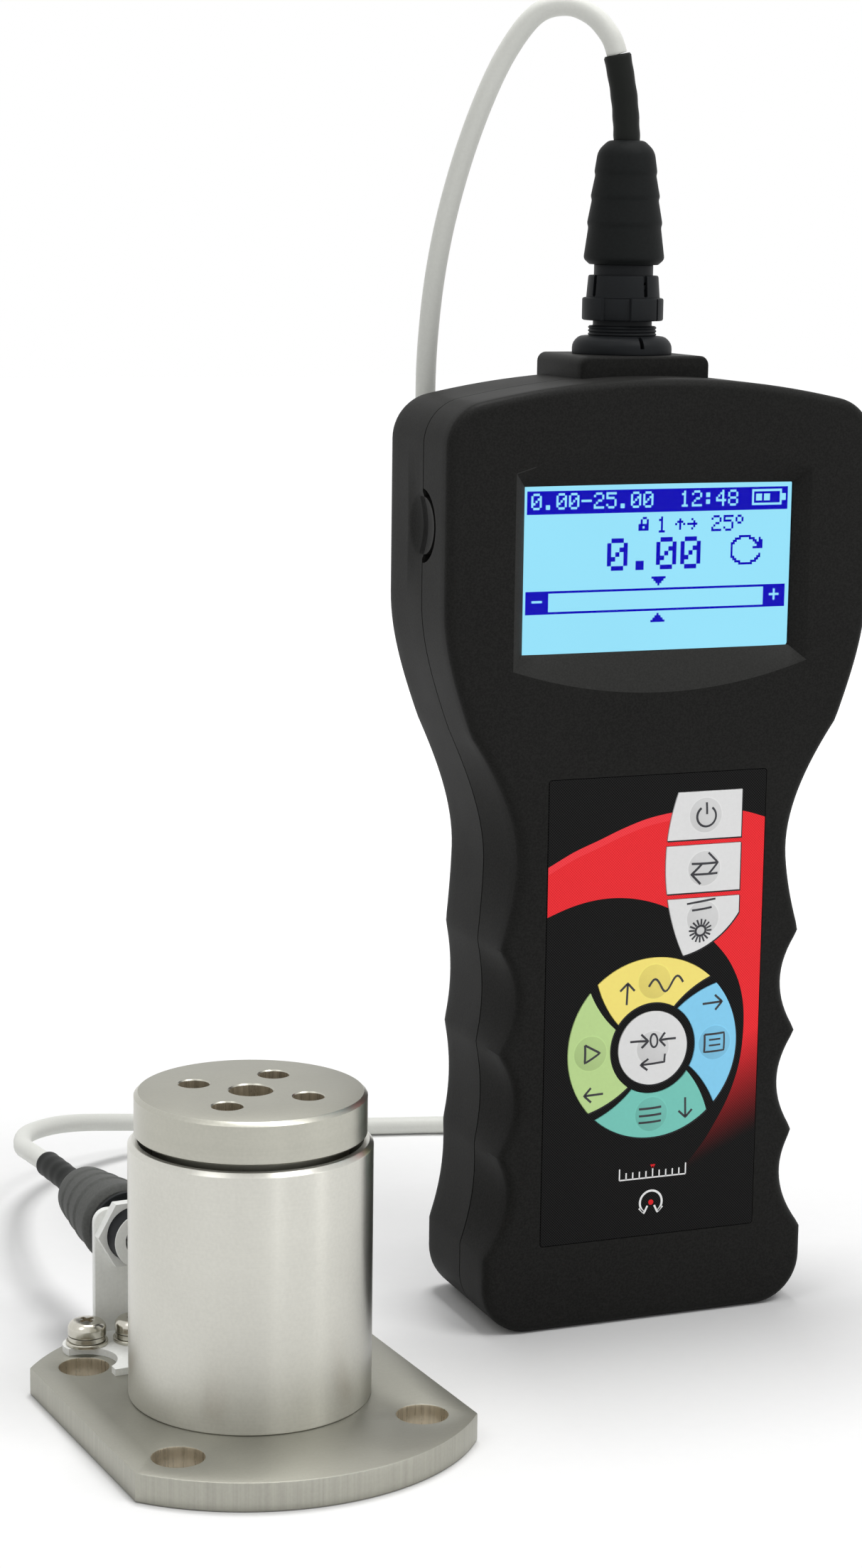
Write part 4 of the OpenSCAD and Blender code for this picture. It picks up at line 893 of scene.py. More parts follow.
class TORQUE_OT_rear_shell(Operator):
    """Rear shell with the release tongues, screw wells and the rest of the boss"""
    bl_idname = "torque.rear_shell"
    bl_label = "Rear shell"

    def execute(self, context):
        h = settings().housing
        plastic = FINISHES["housing"]
        edge, split, depth, r = housing_edge(h), mm(h, "split"), mm(h, "depth"), mm(h, "rear_round")
        groove, wall = mm(h, "groove"), mm(h, "wall")
        form = Form()
        steps = [(split + 3, wall), (split, wall), (split + 0.02, groove), (split + 0.12, groove),
                 (split + 0.14, 0.05), (split + 0.2, 0)]
        steps += [(split + 0.2 + (depth - r - split - 0.2) * i / 6, 0) for i in range(1, 6)]
        steps += [(depth - r * (1 - math.sin(a)), r * (1 - math.cos(a)))
                  for a in (math.radians(90 * i / 8) for i in range(9))]
        outer = [housing_ring(edge, y, inset) for y, inset in steps]
        form.skin(outer)
        wells = [circle(x, z, 3, 48) for x, z in POSTS]
        form.fill(flat(outer[-1]), wells, depth)
        for well in wells:
            inner = grow(well, -0.05)
            form.sink([(well, depth), (inner, depth - 0.05), (inner, depth - 6)])
            form.fill(inner, [], depth - 6)
        form.fill(flat(outer[0]), [], split + 3)
        shell = piece("rear_shell", form, [plastic], ["rear_housing"], place=INDICATOR, angle=32,
                      slot="housing")
        cut(shell, [dish(1), dish(-1)])
        loop = arc(TONGUE_Y, TONGUE_Z, TONGUE_R, 90, 270, 32)
        loop += [(TONGUE_Y + 2.1, TONGUE_Z - TONGUE_R), (TONGUE_Y + 2.1, TONGUE_Z + TONGUE_R)]
        for side, name in ((1, "tongue_right"), (-1, "tongue_left")):
            rings = [[(INDICATOR.translation.x + side * x, y, z) for y, z in grow(loop, -inset)]
                     for x, inset in ((46.8, 0), (50.15, 0), (50.3, 0.15))]
            cut(piece(name, capped(rings), [plastic], slot="housing"), [dish(side)])
        rings = boss_rings(13.0, 37.1, 207.0)
        rings = [[(x, split, z) for x, _, z in rings[3]]] + rings[4:]
        piece("boss_rear", capped(rings), [plastic], place=INDICATOR, angle=40, slot="housing")
        return {"FINISHED"}


# Display

# Seven rows of five dots for each character
FONT = {
    "0": "01110 10001 10011 10101 11001 10001 01110", "1": "00100 01100 00100 00100 00100 00100 01110",
    "2": "01110 10001 00001 00110 01000 10000 11111", "4": "00010 00110 01010 10010 11111 00010 00010",
    "5": "11111 10000 11110 00001 00001 10001 01110", "8": "01110 10001 10001 01110 10001 10001 01110",
    ".": "00000 00000 00000 00000 00000 01100 01100", ":": "00000 01100 01100 00000 01100 01100 00000",
    "-": "00000 00000 00000 11111 00000 00000 00000", "*": "01100 10010 10010 01100 00000 00000 00000",
    ">": "00000 00100 00010 11111 00010 00100 00000", "^": "00000 00100 01110 10101 00100 00100 00000",
    "#": "00110 01001 01001 11111 11011 11111 00000",
    " ": "00000 " * 7,
}


# Thirteen rows of sixteen dots for the turning arrow
TURN = ("0000111111000000 0011100001110010 0110000000011011 1100000000001111 1000000000000111 "
        "1000000000011111 1000000000000000 1000000000000000 1000000000000010 1100000000000110 "
        "0110000000001100 0011100000111000 0000111111100000")


def dot_picture():
    """Runs of dots in the 128 x 64 of the display, each as its first and last column and its row."""
    dots = set()

    def box(x0, y0, x1, y1, on=True):
        for x in range(x0, x1 + 1):
            for y in range(y0, y1 + 1):
                (dots.add if on else dots.discard)((x, y))

    def text(x, y, words, scale=1, on=True):
        for character in words:
            for row, bits in enumerate(FONT[character].split()):
                for column, bit in enumerate(bits):
                    if bit == "1":
                        left, top = x + column * scale, y + row * scale
                        box(left, top, left + scale - 1, top + scale - 1, on)
            x += 6 * scale

    # Title bar with its numbers and a battery
    box(0, 1, 127, 10)
    text(2, 2, "0.00-25.00  12:48", on=False)
    for on, *corners in ((False, 110, 2, 124, 8), (True, 111, 3, 123, 7), (False, 112, 4, 114, 6),
                         (False, 116, 4, 118, 6), (False, 125, 4, 126, 6)):
        box(*corners, on)
    for x, words in ((54, "#"), (63, "1"), (72, "^>"), (90, "25*")):
        text(x, 13, words)
    text(39, 22, "0.00", 2)
    for y, row in enumerate(TURN.split()):
        dots.update((100 + x, 22 + y) for x, bit in enumerate(row) if bit == "1")
    # Bar between minus and plus, and its two pointers
    for on, *corners in ((True, 0, 44, 127, 44), (True, 0, 53, 127, 53), (True, 0, 44, 10, 53),
                         (True, 117, 44, 127, 53), (False, 3, 48, 7, 48), (False, 120, 48, 124, 48),
                         (False, 122, 46, 122, 50)):
        box(*corners, on)
    for k in range(4):
        box(64 - k, 42 - k, 64 + k, 42 - k)
        box(64 - k, 55 + k, 64 + k, 55 + k)
    runs = []
    for x, y in sorted(dots, key=lambda dot: (dot[1], dot[0])):
        if runs and runs[-1][2] == y and runs[-1][1] == x - 1:
            runs[-1][1] = x
        else:
            runs.append([x, x, y])
    return runs


# Depth of the face of the display module, and of the dots just in front of it
MODULE_Y, DOTS_Y = 4.06, 4.03


class TORQUE_OT_display(Operator):
    """Display pane, module with its dots and backlight"""
    bl_idname = "torque.display"
    bl_label = "Display"

    def execute(self, context):
        d = settings().display
        ground, ink = lit("display_ground", d.ground, 1.03), lit("display_dots", d.dots)
        frame_black = moulded("display_frame", linear(26, 28, 32), 1500, 0.1, 0.5, 0.05, 0.3)
        w, g, c = mm(d, "glass_w") / 2, mm(d, "glass_h") / 2, mm(d, "centre")
        form = Form()
        outer = [(-w - 5, c - g - 5), (w + 5, c - g - 5), (w + 5, c + g + 5), (-w - 5, c + g + 5)]
        view = rounded_box(-w - 0.2, w + 0.2, c - g - 0.2, c + g + 0.2, 0.6)
        form.sink([(outer, MODULE_Y), (outer, 6.5)])
        form.plane([outer, view], lambda p: 1 if inside(p, view) else 0, MODULE_Y)
        form.fill(outer, [], 6.5)
        piece("display_module", form, [frame_black, ground], ["lcd_module"], place=INDICATOR, slot="display")
        left, top = -w + 0.95, c + g - 0.55
        pitch_x, pitch_z = (2 * w - 1.7) / 128, 0.5
        form = Form()
        for first, last, y in dot_picture():
            x0, z1 = left + first * pitch_x, top - y * pitch_z
            x1, z0 = left + (last + 1) * pitch_x, z1 - pitch_z
            form.add(lift([(x0, z0), (x1, z0), (x1, z1), (x0, z1)], DOTS_Y), [[0, 1, 2, 3]])
        piece("display_dots", form, [ink], place=INDICATOR, closed=False)

        pane = bpy.data.materials.new("window")
        pane.use_nodes = True
        g, shader = Graph(pane.node_tree), shader_of(pane)
        shader.inputs["Transmission Weight"].default_value = 1
        shader.inputs["IOR"].default_value = 1.12
        smear = g.noise(g.place(), 25.0, 3.0)
        g.set(shader.inputs["Roughness"], g.span(smear, 0.2, 0.8, 0.0, 0.006))
        g.set(shader.inputs["Base Color"], g.mix(smear, (0.985, 0.99, 0.99), (1.0, 1.0, 1.0)))
        finish_node("display_window", pane)
        finish_node("backlight_panel",
                    moulded("light_guide", linear(236, 238, 232), 900, 0.05, 0.4, 0.03, 0.5))
        return {"FINISHED"}


# Keypad

KEYS = ["on_off", "unit", "backlight", "print", "function", "start", "menu", "enter"]
COLUMN, ENTER = 3, 7
# Middle of the ring of keys, its inner and outer radius, and the radius of the middle key
RING_Z, RING_IN, RING_OUT, ENTER_R = 63.4, 10.4, 20.6, 8.4
# Column of keys: its right edge, its top, the pitch and the height of a key
COLUMN_X, COLUMN_Z, COLUMN_PITCH, COLUMN_H = 20.3, 120.8, 12, 10.7
# Raised domes: radius, rise, distance from the middle of the ring, and places in the column
DOME_R, DOME_H, DOME_WAY = 4.0, 0.62, 15.2
COLUMN_DOMES = [(11.4, 115.45), (11.4, 103.45), (11.4, 92.2)]


def sector(middle):
    """One key of the ring: its two side edges turn as they run inwards."""
    n = 14

    def at(r, share):
        bend = 13.5 * (RING_OUT - r) / (RING_OUT - RING_IN)
        a = math.radians(middle + share * (45 - 3.4) + bend)
        return (r * math.cos(a), RING_Z + r * math.sin(a))
    along = [i / n - 1 for i in range(2 * n + 1)]
    across = [RING_OUT + (RING_IN - RING_OUT) * i / n for i in range(1, n)]
    return ([at(RING_OUT, share) for share in along] + [at(r, 1) for r in across]
            + [at(RING_IN, -share) for share in along] + [at(r, -1) for r in across[::-1]])


def column_key(k):
    """One key of the column: straight right edge, left edge on a wide arc, the lowest cut by a circle."""
    top = COLUMN_Z - COLUMN_PITCH * k

    def left(z):
        return 50 - math.sqrt(48 ** 2 - (z - 105) ** 2)
    if k < 2:
        return ([(COLUMN_X, top - COLUMN_H), (COLUMN_X, top)]
                + [(left(top - COLUMN_H * i / 12), top - COLUMN_H * i / 12) for i in range(13)])
    cx, cz, r = 2.8, 104.4, 20.9

    def clear(z):
        return (left(z) - cx) ** 2 + (z - cz) ** 2 < r * r
    z, side = top, []
    while z > 60 and clear(z):
        side.append((left(z), z))
        z -= 0.5
    low, high = z, z + 0.5
    for _ in range(40):
        middle = (low + high) / 2
        low, high = (low, middle) if clear(middle) else (middle, high)
    tip = (left(high), high)
    a0 = math.degrees(math.atan2(tip[1] - cz, tip[0] - cx))
    a1 = -math.degrees(math.acos((COLUMN_X - cx) / r))
    return side + [tip] + arc(cx, cz, r, a0, a1, 16)[1:] + [(COLUMN_X, top)]


def key_loop(k):
    if k == ENTER:
        return circle(0, RING_Z, ENTER_R, 96)
    return column_key(k) if k < COLUMN else sector(90 * (k - COLUMN))


def dome_place(k):
    if k == ENTER:
        return (0, RING_Z)
    a = math.radians(90 * (k - COLUMN))
    return COLUMN_DOMES[k] if k < COLUMN else (DOME_WAY * math.cos(a), RING_Z + DOME_WAY * math.sin(a))


def band_edges():
    """Outer and inner edge of the red band, as smooth lines that run past the overlay."""
    outer = [(-30, 104), (-26.1, 105.9), (-20, 109), (-14.3, 111.2), (-8, 113.7), (-1.7, 115.6),
             (6, 116.7), (13, 116.9), (20, 116), (26.1, 114.2), (30, 112.6)]
    inner = [(-30, 93.0), (-26, 94.8), (-20, 96.9), (-14, 98.0), (-8.2, 98.0), (-2.6, 97.0), (2.9, 95.0),
             (8.6, 91.6), (13.7, 87.2), (17.6, 83.0), (20.2, 78.6), (21.7, 74.3), (22.4, 69.8), (22.4, 64.3),
             (21.8, 58.8), (20.5, 53.9), (18.5, 49.1), (15.8, 44.4), (12.6, 39.7), (6.0, 32.5), (-3, 26),
             (-14, 19), (-20, 15)]

    def fine(line):
        return [(p.x, p.y) for p in route([(x, z, 0) for x, z in line], 6)]
    return fine(outer), fine(inner)


def stroke(points, w):
    """A drawn line of width w as rows of three points, close together so that it follows a dome."""
    path = []
    for a, b in zip(points, points[1:]):
        n = max(1, int(math.dist(a, b) / 0.35))
        path += [(a[0] + (b[0] - a[0]) * i / n, a[1] + (b[1] - a[1]) * i / n) for i in range(n)]
    path.append(points[-1])
    sides = []
    for i, p in enumerate(path):
        a, b = path[max(i - 1, 0)], path[min(i + 1, len(path) - 1)]
        t = Vector((b[0] - a[0], b[1] - a[1])).normalized()
        sides.append(((p[0] - t.y * w / 2, p[1] + t.x * w / 2), p, (p[0] + t.y * w / 2, p[1] - t.x * w / 2)))
    return sides


def arrow(x, z, angle, length=4.6):
    """A plain arrow that points along angle, as strokes with their widths."""
    u, v = axes_at(angle)
    c = Vector((x, z))
    tip, tail = c + u * length / 2, c - u * length / 2
    head = length * 0.36
    return [([tuple(tail), tuple(tip - u * 0.2)], 0.5),
            ([tuple(tip - u * head + v * head), tuple(tip), tuple(tip - u * head - v * head)], 0.5)]


def ring_line(x, z, r, a0, a1, w):
    return [(arc(x, z, r, a0, a1, 28), w)]


def legend(k):
    """Generic symbols on the keys, as strokes with their widths."""
    x, z = dome_place(k)
    if KEYS[k] == "on_off":
        return ring_line(x, z - 0.2, 2.3, 125, 415, 0.5) + [([(x, z + 0.3), (x, z + 2.9)], 0.5)]
    if KEYS[k] == "unit":
        return arrow(x, z + 1.2, 0, 6.4) + arrow(x, z - 1.2, 180, 6.4)
    if KEYS[k] == "backlight":
        x, z = 10.8, 89.4
        turns = [math.radians(22.5 * i) for i in range(16)]
        rays = [([(x + r * math.cos(a), z + r * math.sin(a)) for r in (1.5, 2.75)], 0.42) for a in turns]
        lamp = [([(7.4, 95.6), (14.4, 96.4)], 0.45), ([(8.6, 94.1), (13.4, 94.6)], 0.45)]
        return ring_line(x, z, 1.2, 0, 360, 0.55) + rays + lamp
    if KEYS[k] == "print":
        x -= 0.2
        sheet = [(-2.4, 2.0), (2.4, 2.2), (2.4, -1.8), (-2.4, -2.0), (-2.4, 2.0)]
        lines = [([(x - 1.4, z + q), (x + 1.4, z + q + 0.1)], 0.4) for q in (0.8, -0.5)]
        return arrow(14.4, 72.6, 3, 4.8) + [([(x + a, z + b) for a, b in sheet], 0.45)] + lines
    if KEYS[k] == "function":
        wave = [(8.6 * i / 24 - 1.6, 77.6 + 1.6 * math.sin(math.pi * i / 8) + 0.35 * i / 24)
                for i in range(25)]
        return arrow(-6.6, 76.2, 88, 4.9) + [(wave, 0.5)]
    if KEYS[k] == "start":
        triangle = [(x - 1.5, z + 2.1), (x + 2.1, z + 0.1), (x - 1.5, z - 2.0), (x - 1.5, z + 2.1)]
        return arrow(-14.2, 53.9, 182) + [(triangle, 0.5)]
    if KEYS[k] == "menu":
        lines = [([(x - 3.1, z + q), (x + 2.3, z + q + 0.2)], 0.5) for q in (1.4, -0.2, -1.8)]
        return arrow(8.4, 49.0, -88) + lines
    turns = [math.radians(10 * i) for i in range(37)]
    zero = [(0.85 * math.cos(a), 65.2 + 1.45 * math.sin(a)) for a in turns]
    back = [([(2.9, 61.9), (2.9, 60.0), (-2.6, 59.7)], 0.5),
            ([(-1.2, 61.1), (-2.9, 59.7), (-1.2, 58.4)], 0.5)]
    return arrow(-3.5, 65.2, 0, 4.2) + arrow(3.5, 65.2, 180, 4.2) + [(zero, 0.45)] + back


def print_form(strokes, height):
    form = Form()
    for points, w in strokes:
        rows = stroke(points, w)
        faces = [[k, k + 1, k + 4, k + 3] for i in range(len(rows) - 1) for k in (3 * i, 3 * i + 1)]
        form.add([(x, height(x, z), z) for row in rows for x, z in row], faces)
    return form


# Depth of the print on the film, and of a key's face
PRINT_Y, KEY_Y = -0.125, -0.3


class TORQUE_OT_overlay(Operator):
    """Printed overlay film with its red band, and the films behind it"""
    bl_idname = "torque.overlay"
    bl_label = "Keypad overlay"

    def execute(self, context):
        k = settings().keypad
        light = tuple(c * 2.4 + 0.004 for c in k.black)
        dark = tuple(c * 0.45 for c in k.black)
        black = principled("overlay", "Diamond weave", {"Light": light, "Dark": dark}, 0.25, 0.03,
                           Specular_IOR_Level=0.05)

        def reds(name, light_shares, dark_shares, bump, **more):
            """A red of the weave; the shares are of the setting's red, and of its green and blue."""
            ends = {end: (k.red[0] * a, k.red[1] * b, k.red[2] * b)
                    for end, (a, b) in (("Light", light_shares), ("Dark", dark_shares))}
            return principled(name, "Diamond weave", ends, bump, 0.03, Specular_IOR_Level=0.05, **more)

        def fade(g, node):
            """Red that runs into black towards the lower right."""
            at = g.split(g.point())
            x = g.math("MULTIPLY", g.math("SUBTRACT", at["X"], INDICATOR.translation.x * MM), 0.45)
            shade = g.math("POWER", g.span(g.math("SUBTRACT", at["Z"], x), 0.030, 0.0545), 1.7)
            weave = g.add("ShaderNodeGroup", node_tree=bpy.data.node_groups["Diamond weave"])
            g.set(weave.inputs["Light"], light)
            g.set(weave.inputs["Dark"], dark)
            return g.mix(shade, weave.outputs["Color"], node.outputs["Color"])
        red = reds("overlay_red", (1.0, 1.25), (0.83, 0.72), 0.25, base=fade)
        stripe = reds("overlay_stripe", (1 / k.red[0], 2.0), (0.93, 1.15), 0.2)
        shadow = moulded("overlay_shadow", linear(44, 44, 47), 1500, 0.08, 0.6, 0.03, 0.15)
        half, low, high = mm(k, "width") / 2, mm(k, "low"), mm(k, "high")
        rim = rounded_box(-half, half, low, high, 0.6)
        top = grow(rim, -0.08)
        holes = [grow(key_loop(i), 0.12) for i in range(8)]
        shades = [grow([(x + 0.2, z - 0.24) for x, z in key_loop(i)], 0.1) for i in range(8)]
        outer, inner = band_edges()
        band = outer + [(36, 10)] + inner[::-1]
        # Lighter stripe along the upper edge of the band
        gleam = [(x, z - 1.7) for x, z in outer]
        gleam_band = outer + gleam[::-1]

        def pick(p):
            if not inside(p, top) or any(inside(p, h) for h in holes):
                return None
            if any(inside(p, s) for s in shades):
                return 2
            if inside(p, gleam_band) and p.x < 3:
                return 3
            return 1 if inside(p, band) else 0
        form = Form()
        form.plane([top] + holes + shades, pick, -0.1, lines=[outer, inner, gleam])
        form.sink([(top, -0.1), (rim, -0.02), (rim, 0.5)])
        form.fill(rim, holes, 0.5)
        for hole in holes:
            form.sink([(hole, -0.1), (hole, 0.5)])
        piece("overlay", form, [black, red, shadow, stripe], ["keypad_overlay"], place=INDICATOR,
              slot="overlay")

        # Small generic scale with a turning arrow, below the keys
        white = moulded("print_white", linear(240, 240, 240), 1500, 0.04, 0.6, 0.02, 0.2)
        scarlet = moulded("print_red", linear(226, 32, 38), 1500, 0.06, 0.6, 0.02, 0.2)
        x, z = 0.6, 27.6
        marks = [([(-7.3 + 1.63 * i, 33.4), (-7.3 + 1.63 * i, 36 if i % 5 == 0 else 35)], 0.32)
                 for i in range(11)]
        marks.append(([(-7.3, 33.4), (9.0, 33.4)], 0.32))
        turn = ring_line(x, z, 2.7, -50, 230, 0.5)
        for a, side in ((-50, 1), (230, -1)):
            end_x, end_z = x + 2.7 * math.cos(math.radians(a)), z + 2.7 * math.sin(math.radians(a))
            turn.append(([(end_x + side * 1.15, end_z + 0.9), (end_x - side * 0.1, end_z - 0.35),
                          (end_x - side * 0.9, end_z + 1.3)], 0.45))
        for name, strokes in (("print_scale", marks), ("print_turn", turn)):
            piece(name, print_form(strokes, lambda x, z: PRINT_Y), [white], place=INDICATOR, closed=False)
        for name, loop in (("print_dot", circle(x, z, 0.62, 32)),
                           ("print_pointer", [(0.2, 36.4), (1.5, 36.4), (0.85, 35.3)])):
            form = Form()
            form.fill(loop, [], PRINT_Y)
            piece(name, form, [scarlet], place=INDICATOR, closed=False)

        finish_node("keypad_spacer", moulded("film", linear(70, 70, 74), 1200, 0.08, 0.5, 0.03, 0.4))
        finish_node("switch_film", moulded("switch_film", linear(196, 158, 84), 1200, 0.1, 0.4, 0.03, 0.5))
        finish_node("snap_domes", metal("dome_steel", linear(205, 206, 208), (400, 400, 400), 0.3, 0.2))
        return {"FINISHED"}


class TORQUE_OT_keys(Operator):
    """The eight keys, each with its raised dome and its symbols"""
    bl_idname = "torque.keys"
    bl_label = "Keys"

    def execute(self, context):
        k = settings().keypad
        colours = [k.grey, k.grey, k.grey, k.blue, k.yellow, k.green, k.teal, k.grey]
        slots = ["key_grey"] * 3 + ["key_blue", "key_yellow", "key_green", "key_teal", "key_grey"]
        inkdrop = moulded("print_grey", linear(66, 66, 70), 1500, 0.05, 0.6, 0.02, 0.15)
        made = {}
        for i, name in enumerate(KEYS):
            slot = slots[i]
            if slot not in made:
                # Each key colour comes three times: its own, a darker copy on the dome that is painted shade,
                # and a lighter copy on the dome's rim that is a painted highlight
                made[slot] = [moulded(slot + end, [min(q * share, 1) for q in colours[i]], 1300, 0.03, 0.5,
                                      0.03, 0.25)
                              for end, share in (("", 1.0), ("_dome_painted_shade", 0.86), ("_rim_painted_highlight", 1.04))]
            loop, middle = key_loop(i), dome_place(i)
            top, rim, base = grow(loop, -0.1), grow(loop, -0.03), grow(loop, 0.4)
            rings = [circle(*middle, r, 56) for r in (4.15, 4.0, 3.88, 3.7, 3.3, 2.7, 2.0, 1.2, 0.5)]
            rings = [ring for ring in rings if all(inside(p, top) for p in ring)]

            def height(x, z):
                r = math.dist((x, z), middle)
                return KEY_Y - (DOME_H * (1 - (r / DOME_R) ** 2) if r < DOME_R else 0.0)

            # Finish 1 inside the dome is painted shade, finish 2 on its rim is a painted highlight
            def pick(p):
                if not inside(p, top):
                    return None
                r = math.dist(p, middle)
                return 1 if r < 3.85 else 2 if r < 4.12 else 0
            form = Form()
            form.plane([top] + rings, pick, KEY_Y, height=height)
            form.sink([(top, KEY_Y), (rim, KEY_Y + 0.03), (loop, KEY_Y + 0.12), (loop, 0.5), (base, 0.5),
                       (base, 0.8)])
            form.fill(base, [], 0.8)
            body = "key_" + name
            piece("cap_" + name, form, made[slot], [body], body=body, place=INDICATOR, angle=20, slot=slot)
            signs = print_form(legend(i), lambda x, z: height(x, z) - 0.02)
            piece("sign_" + name, signs, [inkdrop], body=body, place=INDICATOR, closed=False)
        return {"FINISHED"}


# Connector

def boot_profile(c):
    """Boot from base to tip, in radius and height, with rounded shallow ribs."""
    tip, base, length = mm(c, "tip"), mm(c, "boot"), mm(c, "length")
    places = [0, 0.045, 0.30, 0.335, 0.52, 0.55, 0.72, 0.75, 0.92, 1]
    shares = [0.5, 1, 0.66, 0.76, 0.42, 0.51, 0.18, 0.25, 0, -0.85]
    points = [(tip + (base - tip) * s, length * p) for p, s in zip(places, shares)]
    for k, own_round in ((0, 0.2), (1, 0.7), (-2, 2.2)):
        points[k] = (*points[k], own_round)
    return [(4.66, 17.2), (4.66, 0)] + points + [(2.2, length)]


class TORQUE_OT_connector(Operator):
    """Panel socket, plug with its coupling ring, boot and sleeve"""
    bl_idname = "torque.connector"
    bl_label = "Connector"

    def execute(self, context):
        c = settings().connector
        plastic = moulded("connector", c.plastic, 2400, 0.2, 0.5, 0.08, 0.12)
        rubber = moulded("boot", c.rubber, 1600, 0.3, 0.62, 0.2, 0.1)
        # The sensor's boot is the same moulding as the plug's boot, in a much lighter grey: painted light on
        # it
        moulded("boot_painted_light", linear(80, 81, 79), 1600, 0.3, 0.62, 0.2, 0.15)
        form = Form()
        profile = [(5.2, 202.2), (7.6, 202.2), (7.6, 215.2), (11, 215.2), (11, 217.4, 1.4), (9.5, 219.1, 1.2),
                   (7.25, 219.1)]
        for i in range(3):
            z = 219.1 + 0.733 * i
            profile += [(7.6, z + 0.37, 0.15), (7.25, z + 0.733, 0.1)]
        profile += [(6.5, 221.3), (6.5, 229.0), (5.2, 229.0), (5.2, 202.2)]
        form.turned(soften(profile, 0.25), 96)
        socket = piece("socket", form, [plastic], ["panel_socket"], place=SOCKET, slot="connector")
        out, along = axes_at(269.4)
        corners = [(out * r + along * w).to_3d()
                   for r, w in ((8.3, -0.45), (14, -0.45), (14, 0.45), (8.3, 0.45))]
        cut(socket, [capped([[SOCKET @ p + Vector((0, 0, z)) for p in corners] for z in (216.6, 222)])])

        form = Form()
        profile = [(5.1, 224.2), (5.1, 229.2), (7.2, 229.2), (7.2, 230.3), (6.5, 230.3), (6.5, 234.6),
                   (4.6, 234.6), (4.6, 251.6), (2.4, 251.6), (2.4, 230.3), (4.3, 230.3), (4.3, 224.2),
                   (5.1, 224.2)]
        form.turned(soften(profile, 0.15), 96)
        piece("plug_shell", form, [plastic], ["plug_body"], place=SOCKET, slot="connector")

        # Coupling ring: three gripping pads below, four spring slots above
        n, pad_top = 360, 227.4
        form = Form()

        def radius(a, z):
            """Radius of the ring: a pad has short ramps at its ends, and one pad has a narrow notch."""
            t = (a - 16.8) % 120
            grip = 0.85 * max(0.0, min(1.0, min(t, 76.8 - t) / 1.6 + 0.5)) if z < pad_top + 0.05 else 0.0
            if abs(a - 303) < 1.3 and z < 227.3:
                grip = min(grip, 0.25)
            return 8.1 + grip - 0.4 * max(0, z - pad_top) / 4.9
        rings = []
        for z, less in ((222.5, 0.35), (222.62, 0.12), (222.9, 0.0), (224.5, 0.0), (227.0, 0.0),
                        (227.3, 0.12), (227.42, 0.4), (227.5, 0.0), (229, 0.0), (231.9, 0.0), (232.2, 0.1),
                        (232.3, 0.35)):
            ring = []
            for a in range(n):
                r = radius(a, z) - less
                if z == 227.42:
                    r = max(r, 8.1)
                ring.append((r * math.cos(math.radians(a)), r * math.sin(math.radians(a)), z))
            rings.append(ring)
        rings += [level_circle(r, z, n) for r, z in ((6.6, 232.3), (6.6, 230.8), (7.28, 230.8), (7.28, 229.1),
                                                     (6.6, 229.1), (6.6, 222.5))]
        form.skin(rings + rings[:1])
        ring = piece("ring", form, [plastic], ["coupling_ring"], body="coupling_ring", place=SOCKET, angle=30,
                     slot="connector")
        outline = [(-0.5, 233.5)] + arc(0, 228.1, 0.5, 180, 360, 8) + [(0.5, 233.5)]
        slots = []
        for i in range(4):
            out, along = axes_at(13.4 + 90 * i)
            slots.append(capped([[tuple(SOCKET @ (out * r + along * w).to_3d() + Vector((0, 0, z)))
                                  for w, z in outline] for r in (7.1, 10)]))
        cut(ring, slots)

        form = Form()
        profile = boot_profile(c)
        profile = [(r, 234.6 + z, *more) for r, z, *more in profile] + [(4.66, 251.8)]
        form.turned(soften(profile, 0.9, 4), 128)
        piece("boot_plug", form, [rubber], ["plug_boot"], place=SOCKET, slot="boot", angle=50)
        shrink = moulded("sleeve", c.sleeve, 1800, 0.2, 0.5, 0.12, 0.12)
        way = route(PLUG_SLEEVE, 12)
        radii = [2.9 + 0.1 * math.exp(-((i - len(way) + 3) / 2.0) ** 2) - (0.25 if i == len(way) - 1 else 0)
                 + 0.05 * math.sin(i * 1.1) for i in range(len(way))]
        piece("sleeve_plug", capped(tube(way, radii, 40)), [shrink], ["plug_sleeve"], slot="sleeve", angle=50)
        for name, color in (("socket_insulator", (52, 52, 56)), ("plug_insert", (52, 52, 56)),
                            ("socket_lead", (76, 76, 80))):
            finish_node(name, moulded(name + "_finish", linear(*color), 1500, 0.1, 0.5, 0.04, 0.4))
        finish_node("contact_pins", metal("contact", linear(226, 190, 110), (300, 300, 300), 0.25, 0.2))
        finish_node("socket_nut", metal("nut_steel", linear(160, 162, 165), (300, 300, 300), 0.3, 0.2))
        return {"FINISHED"}


# Sensor

def plate_loop(r, half):
    """Circle with two flats, as seen from above."""
    a = math.degrees(math.acos(half / r))
    return arc(0, 0, r, a, 180 - a, 60) + arc(0, 0, r, 180 + a, 360 - a, 60)


def holes_at(n, r, start, size_r, count=64):
    """Circles of radius size_r, spread over a circle of radius r."""
    turns = [math.radians(start + 360 / n * i) for i in range(n)]
    return [circle(r * math.cos(a), r * math.sin(a), size_r, count) for a in turns]


# Round the sensor's axis: bolt holes, element screws and disk holes as radius of the circle, angle of the
# first and radius of the hole; the screws of the bracket; and the outlet's place across and in height
BOLTS, SCREWS, DISK_HOLES = (37.5, 45, 5.25), (17, 0, 2.55), (12.5, 45, 3.2)
EAR, INNER, SCREW_R = (-22.52, 35.52), (-12.6, 33.6), 2.55
OUTLET_X, OUTLET_Z = -11, 29.5


